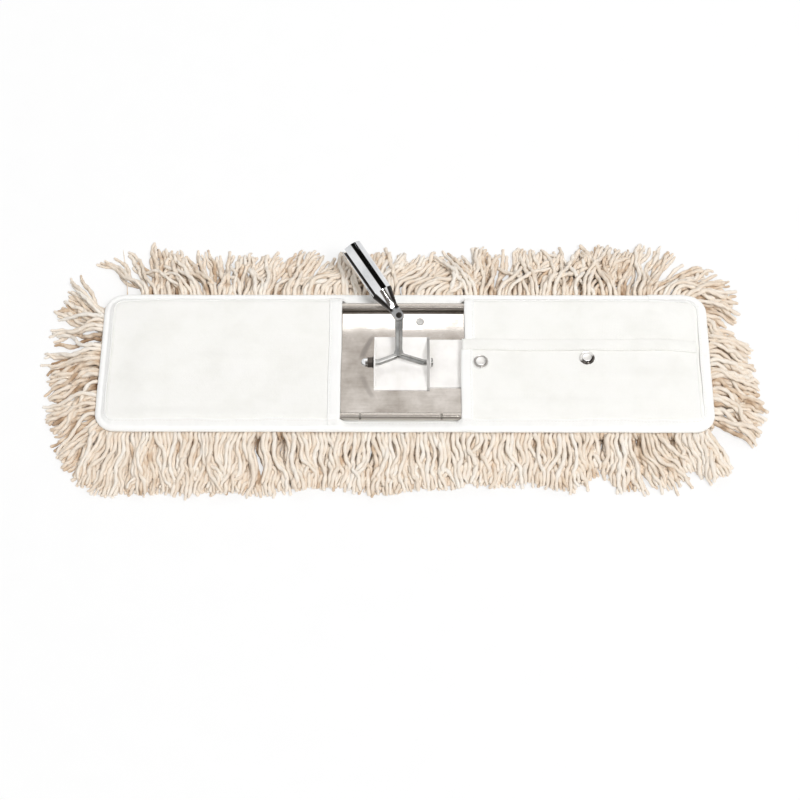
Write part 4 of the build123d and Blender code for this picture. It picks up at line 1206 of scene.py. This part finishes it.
def flap_grid():
    """The flap from the front seam over the roll to a hem that is folded back on top."""
    x = np.linspace(FLAP_MOUTH, FLAP_END, 118)
    front = np.concatenate([np.arange(FLAP_SEAM, -56, 1.0), np.arange(-56, FLAP_TURN, 1.9), [FLAP_TURN]])
    lanes = []
    for y in front:
        edge = np.full(len(x), y)
        lanes.append(np.column_stack([x, edge, flap_height(x, edge)]))
    turn_height = flap_height(x, np.full(len(x), FLAP_TURN))
    for past, up in ((-0.2, 0.25), (0.1, 0.75), (-0.3, 1.3), (-1.2, 1.5)):
        lanes.append(np.column_stack([x, np.full(len(x), FLAP_EDGE + past), turn_height + up]))
    for y in np.linspace(FLAP_EDGE - 2.6, FLAP_EDGE - FLAP_HEM, 8):
        edge = np.full(len(x), y)
        puff = 1.45 + 0.25 * np.sin(pi * (FLAP_EDGE - y) / FLAP_HEM) + 0.12 * np.sin(x / 3.1 + y)
        dip = 0.35 * np.exp(-(((y - (FLAP_EDGE - FLAP_HEM + 1.6)) / 1.0) ** 2))
        lanes.append(np.column_stack([x, edge, flap_height(x, edge) + puff - dip]))
    grid = np.stack(lanes, axis=1)
    wander = 0.5 * np.sin(x / 31) + 0.35 * np.sin(x / 13 + 1)
    grid[:, :, 1] += (wander * 0.6)[:, None] * smooth_step(-40, 10, grid[:, :, 1])
    return grid


canvas_finish = bleached_canvas()
tape_finish = bleached_twill_tape()
yarn_finish = natural_cotton_yarn()
thread_finish = bleached_sewing_thread()
# Cold-rolled steel sheet, tinned: bright grey with rolling streaks, handling smudges and slow dents;
# the rolled edges are scuffed dull by the cloth, and two soft bands of painted shadow of the left ear spread
# past it.
plate_finish = plated_metal(
    "tinned_steel_sheet_cold_rolled", ("#B5AFA9", "#D3CFCA", "#EDEAE7"), gloss=(0.03, 0.07),
    streak_mm=2.4, streak_along=0, dents_mm=42, dent_depth=0.05,
    worn=((rolled_edges, "#C2BCB5", 0.24), (ear_shade_bands, "#A9A5A1", 0.06)),
)
# Pressed steel, bright zinc: paler and more satin than the plate, so it gathers light from all round;
# the edge of its standing fold is painted grey as shade.
bracket_finish = plated_metal(
    "bright_zinc_on_pressed_steel", ("#F1F0EE", "#F4F3F2", "#F7F6F4"), gloss=(0.80, 0.88),
    streak_mm=2.2, streak_along=1, dents_mm=26, dent_depth=0.02, worn=((fold_edge_shade, "#B2B0AE", 0.6),),
)
# Bent steel rod, bright zinc: greyer, with drawing marks along it, and one arm painted pale as light.
rod_finish = plated_metal(
    "bright_zinc_on_bent_steel_rod", ("#838382", "#9B9B99", "#AFAFAD"), gloss=(0.14, 0.26),
    streak_mm=0.9, streak_along=1, dents_mm=12, dent_depth=0.03, worn=((left_arm_painted_light, "#B6B6B4", 0.5),),
)
# Drawn steel tube, chromium outside: a clean mirror with faint polishing marks; bare steel in the bore,
# painted near black as its shade, and a painted dark reflection on the sides of the pressed neck.
chrome_finish = plated_metal(
    "chromium_on_drawn_steel_tube", ("#D2D4D6", "#DFE0E2", "#E8E9EA"), gloss=(0.035, 0.08),
    streak_mm=0.7, streak_along=1, dents_mm=30, dent_depth=0.02,
    worn=((socket_bore_shade, "#2A2725", 0.5), (neck_dark_reflection, "#2B2826", 0.35)),
)
# Turned steel, chromium on the cap nut's dome: the hexagon is painted dark as shade.
nut_finish = plated_metal(
    "chromium_on_turned_steel", ("#D2D4D6", "#DFE0E2", "#E8E9EA"), gloss=(0.05, 0.12),
    streak_mm=0.7, streak_along=0, dents_mm=12, dent_depth=0.02, worn=((nut_hexagon_shade, "#57524E", 0.4),),
)
# Stamped brass, nickel: a mirror, dulled a little by handling.
stud_finish = plated_metal(
    "nickel_on_stamped_brass", ("#DAD9D6", "#E6E5E3", "#EEEDEC"), gloss=(0.36, 0.46),
    streak_mm=0.6, streak_along=0, dents_mm=9, dent_depth=0.015,
)
# Stamped brass, nickel with its skirt painted dark as shade: a dim mirror on the right stud with its upper
# left painted light, grey on the left.
stud_skirt_shade_finish = plated_metal(
    "nickel_on_stamped_brass_painted_shade", ("#3E3A37", "#55514D", "#6C6864"), gloss=(0.12, 0.22),
    streak_mm=0.6, streak_along=0, dents_mm=9, dent_depth=0.015,
    worn=((right_stud_lit_side, "#E2E1DE", 0.4), (left_stud_light_shade, "#A5A29E", 0.4)),
)
# Drawn steel wire, bare: dull grey with drawing marks.
wire_finish = plated_metal(
    "drawn_steel_wire_bare", ("#77736C", "#8D8983", "#A09C96"), gloss=(0.28, 0.45),
    streak_mm=0.8, streak_along=0, dents_mm=10, dent_depth=0.02,
)
# Cold-headed steel, dull zinc: an even mid grey.
plate_rivet_finish = plated_metal(
    "dull_zinc_on_headed_steel", ("#BBBAB8", "#CBCAC8", "#D9D8D6"), gloss=(0.5, 0.62),
    streak_mm=0.8, streak_along=0, dents_mm=10, dent_depth=0.02,
)
# Steel rivet, black oxide: nearly black, with a dull shine on its head. The left pivot washer takes it as
# painted shade.
rivet_and_washer_shade_finish = plated_metal(
    "black_oxide_on_headed_steel_and_painted_washer_shade", ("#1E1C1B", "#2C2A28", "#413E3B"), gloss=(0.34, 0.5),
    streak_mm=0.8, streak_along=0, dents_mm=10, dent_depth=0.02,
)

# Canvas backing and pockets
cloth_end = COVER_LENGTH / 2 - CLOTH_INSET
canvas = cloth_panel(
    "canvas_backing_cloth", np.linspace(-cloth_end, cloth_end, 200), np.linspace(-1, 1, 56), canvas_height,
    canvas_finish,
)
rows = np.concatenate([np.linspace(LEFT_MOUTH, -286, 112), np.linspace(-287, -cloth_end, 14)])
left_pocket = cloth_panel(
    "left_pocket_cloth", rows, np.linspace(-1, 1, 92), left_pocket_height, canvas_finish
)
# The right pocket's rear panel and sewn end leave the window under the flap open.
rows = np.concatenate(
    [np.linspace(RIGHT_MOUTH, WINDOW_END, 112), np.linspace(WINDOW_END + 1.5, cloth_end, 14)]
)
panel_share = PANEL_EDGE / half_width_at(0.0)
lanes = np.concatenate([np.linspace(-1, panel_share, 38), np.linspace(panel_share, 1, 58)[1:]])
kept = (rows[:-1, None] > WINDOW_END - 0.1) | (lanes[None, :-1] > panel_share - 1e-6)
right_pocket = cloth_panel("right_pocket_cloth", rows, lanes, rear_panel_height, canvas_finish, kept)

# Flap
flap_points = flap_grid()
flap = cloth_piece("pocket_flap_cloth", flap_points, canvas_finish, CLOTH_THICKNESS)

# Press-stud caps
caps = stud_caps(stud_finish, stud_skirt_shade_finish)
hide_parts("snap_caps")
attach(caps, "flap")

# Tapes and their stitching
binding_points = binding_rows(np.linspace(0, EDGE_RUN, 760, endpoint=False))
binding = cloth_piece("edge_binding_tape", binding_points, tape_finish, TAPE_THICKNESS, closed=True)
tape_end = binding_end(tape_finish)
# Each mouth tape: its edge, the way into the pocket, its width, the cloth that it binds, and its two ends
(left_tape, left_tape_points), (right_tape, right_tape_points), (flap_tape, flap_tape_points) = (
    mouth_tape(*each, tape_finish)
    for each in (
        ("left_mouth_tape_folded", LEFT_MOUTH, -1, 11.4, left_pocket_height, -MOUTH_SIDE, MOUTH_SIDE),
        ("right_mouth_tape_folded", RIGHT_MOUTH, 1, 9.0, rear_panel_height, PANEL_EDGE, MOUTH_SIDE),
        ("flap_mouth_tape_folded", FLAP_MOUTH, 1, 10.4, flap_height, -70.0, FLAP_EDGE - FLAP_HEM + 1.5),
    )
)
seam = binding_points[:, BINDING_SEAM_LANE]
cover_stitching = stitching(
    "cover_stitching",
    [
        thread_row(line)
        for line in (np.concatenate([seam, seam[:1]]), left_tape_points[:, 2], right_tape_points[:, 2])
    ],
    thread_finish,
)
flap_stitching = stitching(
    "flap_stitching",
    [thread_row(flap_points[:, -2], raised=0.65), thread_row(flap_tape_points[:, 2])],
    thread_finish,
)

# Yarn
fringe, fringe_radius, fringe_tone, fringe_out = fringe_yarns()
in_front = fringe_out[:, 1] < -0.71
behind = fringe_out[:, 1] > 0.71
at_end = ~in_front & ~behind
on_left = fringe[:, 0, 0] < 0
yarn_pieces = []
for name, which, node in (
    ("front_fringe_yarn_left", in_front & on_left, "front_fringe"),
    ("front_fringe_yarn_right", in_front & ~on_left, "front_fringe"),
    ("rear_fringe_yarn_left", behind & on_left, "rear_fringe"),
    ("rear_fringe_yarn_right", behind & ~on_left, "rear_fringe"),
    ("left_fringe_yarn", at_end & on_left, "left_fringe"),
    ("right_fringe_yarn", at_end & ~on_left, "right_fringe"),
):
    made = yarn_piece(
        name, fringe[which], fringe_radius[which], fringe_tone[which], yarn_finish,
        rings=38, sides=8, seed=41 + len(yarn_pieces),
    )
    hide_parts(node)
    yarn_pieces.append(made)
pile, pile_radius, pile_tone = pile_yarns()
pile_piece = yarn_piece(
    "yarn_pile_rows", pile, pile_radius, pile_tone, yarn_finish, rings=15, sides=6, seed=51
)
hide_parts("yarn_pile")
yarn_pieces.append(pile_piece)

# What each piece stands for, and the body that the head's pieces ride on
for made, node, slot in (
    (canvas, "canvas_backing", "canvas"), (left_pocket, "left_pocket", "canvas"),
    (right_pocket, "right_pocket", "canvas"), (flap, "pocket_flap", "canvas"),
    (binding, "edge_binding", "binding_tape"), (tape_end, "edge_binding", "binding_tape"),
    (left_tape, "left_mouth_tape", "binding_tape"),
    (right_tape, "right_mouth_tape", "binding_tape"), (flap_tape, "flap_mouth_tape", "binding_tape"),
):
    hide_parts(node)
for made in yarn_pieces + [
    canvas, left_pocket, right_pocket, binding, tape_end, left_tape, right_tape, cover_stitching
]:
    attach(made, "head")
for made in (flap, flap_tape, flap_stitching):
    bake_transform(made)

for finish, nodes in (
    (plate_finish, ("frame_plate",)), (plate_rivet_finish, ("plate_rivet",)),
    (wire_finish, ("tongue_rivets", "front_edge_wire", "rear_edge_wire")),
    (bracket_finish, ("swivel_bracket", "right_pivot_washer")), (rod_finish, ("yoke",)),
    (nut_finish, ("cap_nut",)), (rivet_and_washer_shade_finish, ("left_pivot_washer", "swing_rivet")),
    # The left pivot washer is painted near black as shade.
    (chrome_finish, ("handle_socket",)),
    (stud_finish, ("snap_caps", "snap_sockets", "snap_studs", "snap_backs")),
):
    for node in nodes:
        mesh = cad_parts[node].data
        mesh.materials.clear()
        mesh.materials.append(finish)
# The plate mirrors the clean white room, with no streak of the swivel's rod, tube, nut, washers and rivet.
for node in ("handle_socket", "swing_rivet", "yoke", "cap_nut", "left_pivot_washer", "right_pivot_washer"):
    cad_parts[node].visible_glossy = False


# White paper, uncoated: plain and matt, with faint clouds 33 mm wide, the object's soft shadow near it and
# bare white further out.
def paper_floor():
    finish, tree = new_finish("white_paper_floor")
    place = add_node(tree, "ShaderNodeTexCoord").outputs["Object"]
    clouds = add_node(tree, "ShaderNodeTexNoise", {"Vector": place, "Scale": 1 / (33 * MM), "Detail": 3.0})
    colour = add_node(
        tree, "ShaderNodeValToRGB", {"Fac": clouds.outputs["Fac"]}, stops=((0.3, "#FCFCFC"), (0.7, "#FFFFFF"))
    )
    paper = add_node(tree, "ShaderNodeBsdfDiffuse", {"Color": colour.outputs["Color"]})
    glow = add_node(tree, "ShaderNodeEmission", {"Color": (1, 1, 1, 1), "Strength": 1.0})
    ray = add_node(tree, "ShaderNodeLightPath").outputs
    seen = ray["Is Camera Ray"]
    for kind in ("Is Glossy Ray", "Is Transmission Ray"):
        seen = add_node(tree, "ShaderNodeMath", {0: seen, 1: ray[kind]}, operation="MAXIMUM").outputs[0]
    away = add_node(tree, "ShaderNodeVectorMath", {0: place}, operation="LENGTH").outputs["Value"]
    both = add_node(
        tree, "ShaderNodeMixShader",
        {
            0: share_within(tree, ((away, 0.6, 2.0, 0.7, 1.0),), seen),
            1: paper.outputs["BSDF"], 2: glow.outputs["Emission"],
        },
    )
    add_node(tree, "ShaderNodeOutputMaterial", {"Surface": both.outputs["Shader"]})
    mesh = bpy.data.meshes.new("floor")
    mesh.from_pydata([(-6, -6, 0), (6, -6, 0), (6, 6, 0), (-6, 6, 0)], [], [(0, 1, 2, 3)])
    mesh.materials.append(finish)
    floor = bpy.data.objects.new("floor", mesh)
    bpy.context.scene.collection.objects.link(floor)


def studio_world():
    """White round the horizon, a dim ceiling above, and an even light on the object."""
    world = bpy.data.worlds.new("white_studio")
    bpy.context.scene.world = world
    world.use_nodes = True
    tree = world.node_tree
    tree.nodes.clear()
    sky = add_node(tree, "ShaderNodeTexCoord").outputs["Generated"]
    right, back, up, run, slant, aside = (
        distance_along(tree, sky, way, unit=1.0)
        for way in (ALONG, ACROSS, UPWARD, (0.8, 0.6, 0.0), (0.95, 0.4, 0.0), (-0.6, 0.8, 0.0))
    )
    # The walls are white. The ceiling is grey and brighter overhead, and dim above the camera.
    # A dark beam crosses it slantwise from overhead towards the right and the rear.
    ceiling = add_node(
        tree, "ShaderNodeValToRGB", {"Fac": up},
        stops=((0.56, "#FFFFFF"), (0.74, "#DED8D3"), (0.872, "#DED8D3"), (0.893, "#EFEAE5")),
    )
    under_ceiling = ((run, -0.2, 0.1, 0, 1),)
    above_camera = ((back, -0.24, -0.13, 1, 0), (right, -0.11, -0.05, 0, 1))
    beam = (
        (slant, -0.07, 0.0, 0, 1), (slant, 0.90, 0.96, 1, 0), (aside, 0.08, 0.14, 1, 0),
        (aside, -0.24, -0.16, 0, 1), (up, 0.54, 0.60, 0, 1),
    )
    room = (1, 1, 1, 1)
    for rows, colour in (
        (under_ceiling, ceiling.outputs["Color"]),
        (above_camera, linear("#6E6761")),
        (beam, linear("#0E0D0C")),
    ):
        room = add_node(
            tree, "ShaderNodeMix", {"Factor": share_within(tree, rows), "A": room, "B": colour},
            data_type="RGBA",
        ).outputs["Result"]
    ray = add_node(tree, "ShaderNodeLightPath").outputs
    mirrored = add_node(
        tree, "ShaderNodeMath", {0: ray["Is Glossy Ray"], 1: ray["Is Transmission Ray"]}, operation="MAXIMUM"
    ).outputs[0]
    backdrop = add_node(
        tree, "ShaderNodeMix", {"Factor": mirrored, "A": (1, 1, 1, 1), "B": room}, data_type="RGBA"
    )
    seen = add_node(tree, "ShaderNodeMath", {0: ray["Is Camera Ray"], 1: mirrored}, operation="MAXIMUM")
    fill = add_node(tree, "ShaderNodeBackground", {"Color": (1, 1, 1, 1), "Strength": 0.45})
    shown = add_node(tree, "ShaderNodeBackground", {"Color": backdrop.outputs["Result"], "Strength": 1.0})
    both = add_node(
        tree, "ShaderNodeMixShader",
        {0: seen.outputs[0], 1: fill.outputs["Background"], 2: shown.outputs["Background"]},
    )
    add_node(tree, "ShaderNodeOutputWorld", {"Surface": both.outputs["Shader"]})


def soft_box(name, way, distance, size, power):
    """A studio soft box that faces the middle of the cover from one direction."""
    lamp = bpy.data.lights.new(name, "AREA")
    lamp.shape = "RECTANGLE"
    lamp.size, lamp.size_y = size
    lamp.energy = power
    made = bpy.data.objects.new(name, lamp)
    back = Vector(way).normalized()
    made.location = back * distance + Vector((0, 0, 0.02))
    made.rotation_mode = "QUATERNION"
    made.rotation_quaternion = (-back).to_track_quat("-Z", "Y")
    bpy.context.scene.collection.objects.link(made)


def photo_camera():
    """The camera above the front edge, looking down."""
    azimuth, elevation, roll = (radians(angle) for angle in (CAMERA_AZIMUTH, CAMERA_ELEVATION, CAMERA_ROLL))
    back = Vector((sin(azimuth) * cos(elevation), -cos(azimuth) * cos(elevation), sin(elevation)))
    right = Vector((cos(azimuth), sin(azimuth), 0))
    up = back.cross(right)
    across = right * cos(roll) + up * sin(roll)
    upward = up * cos(roll) - right * sin(roll)
    lens = bpy.data.cameras.new("photo_camera")
    lens.lens = CAMERA_LENS
    lens.sensor_width = CAMERA_SENSOR
    lens.clip_start, lens.clip_end = 0.05, 50.0
    made = bpy.data.objects.new("photo_camera", lens)
    place = (Vector(CAMERA_TARGET) + back * CAMERA_DISTANCE) * MM
    made.matrix_world = Matrix.Translation(place) @ Matrix((across, upward, back)).transposed().to_4x4()
    bpy.context.scene.collection.objects.link(made)
    bpy.context.scene.camera = made


paper_floor()
studio_world()
soft_box("key_right", way=(0.29, -0.38, 0.87), distance=6.0, size=(1.45, 1.45), power=198.0)
soft_box("rear_panel_light", way=(0.0, 0.6127, 0.7903), distance=1.7, size=(1.7, 0.42), power=4.0)
photo_camera()
bpy.context.scene.view_settings.view_transform = "Standard"
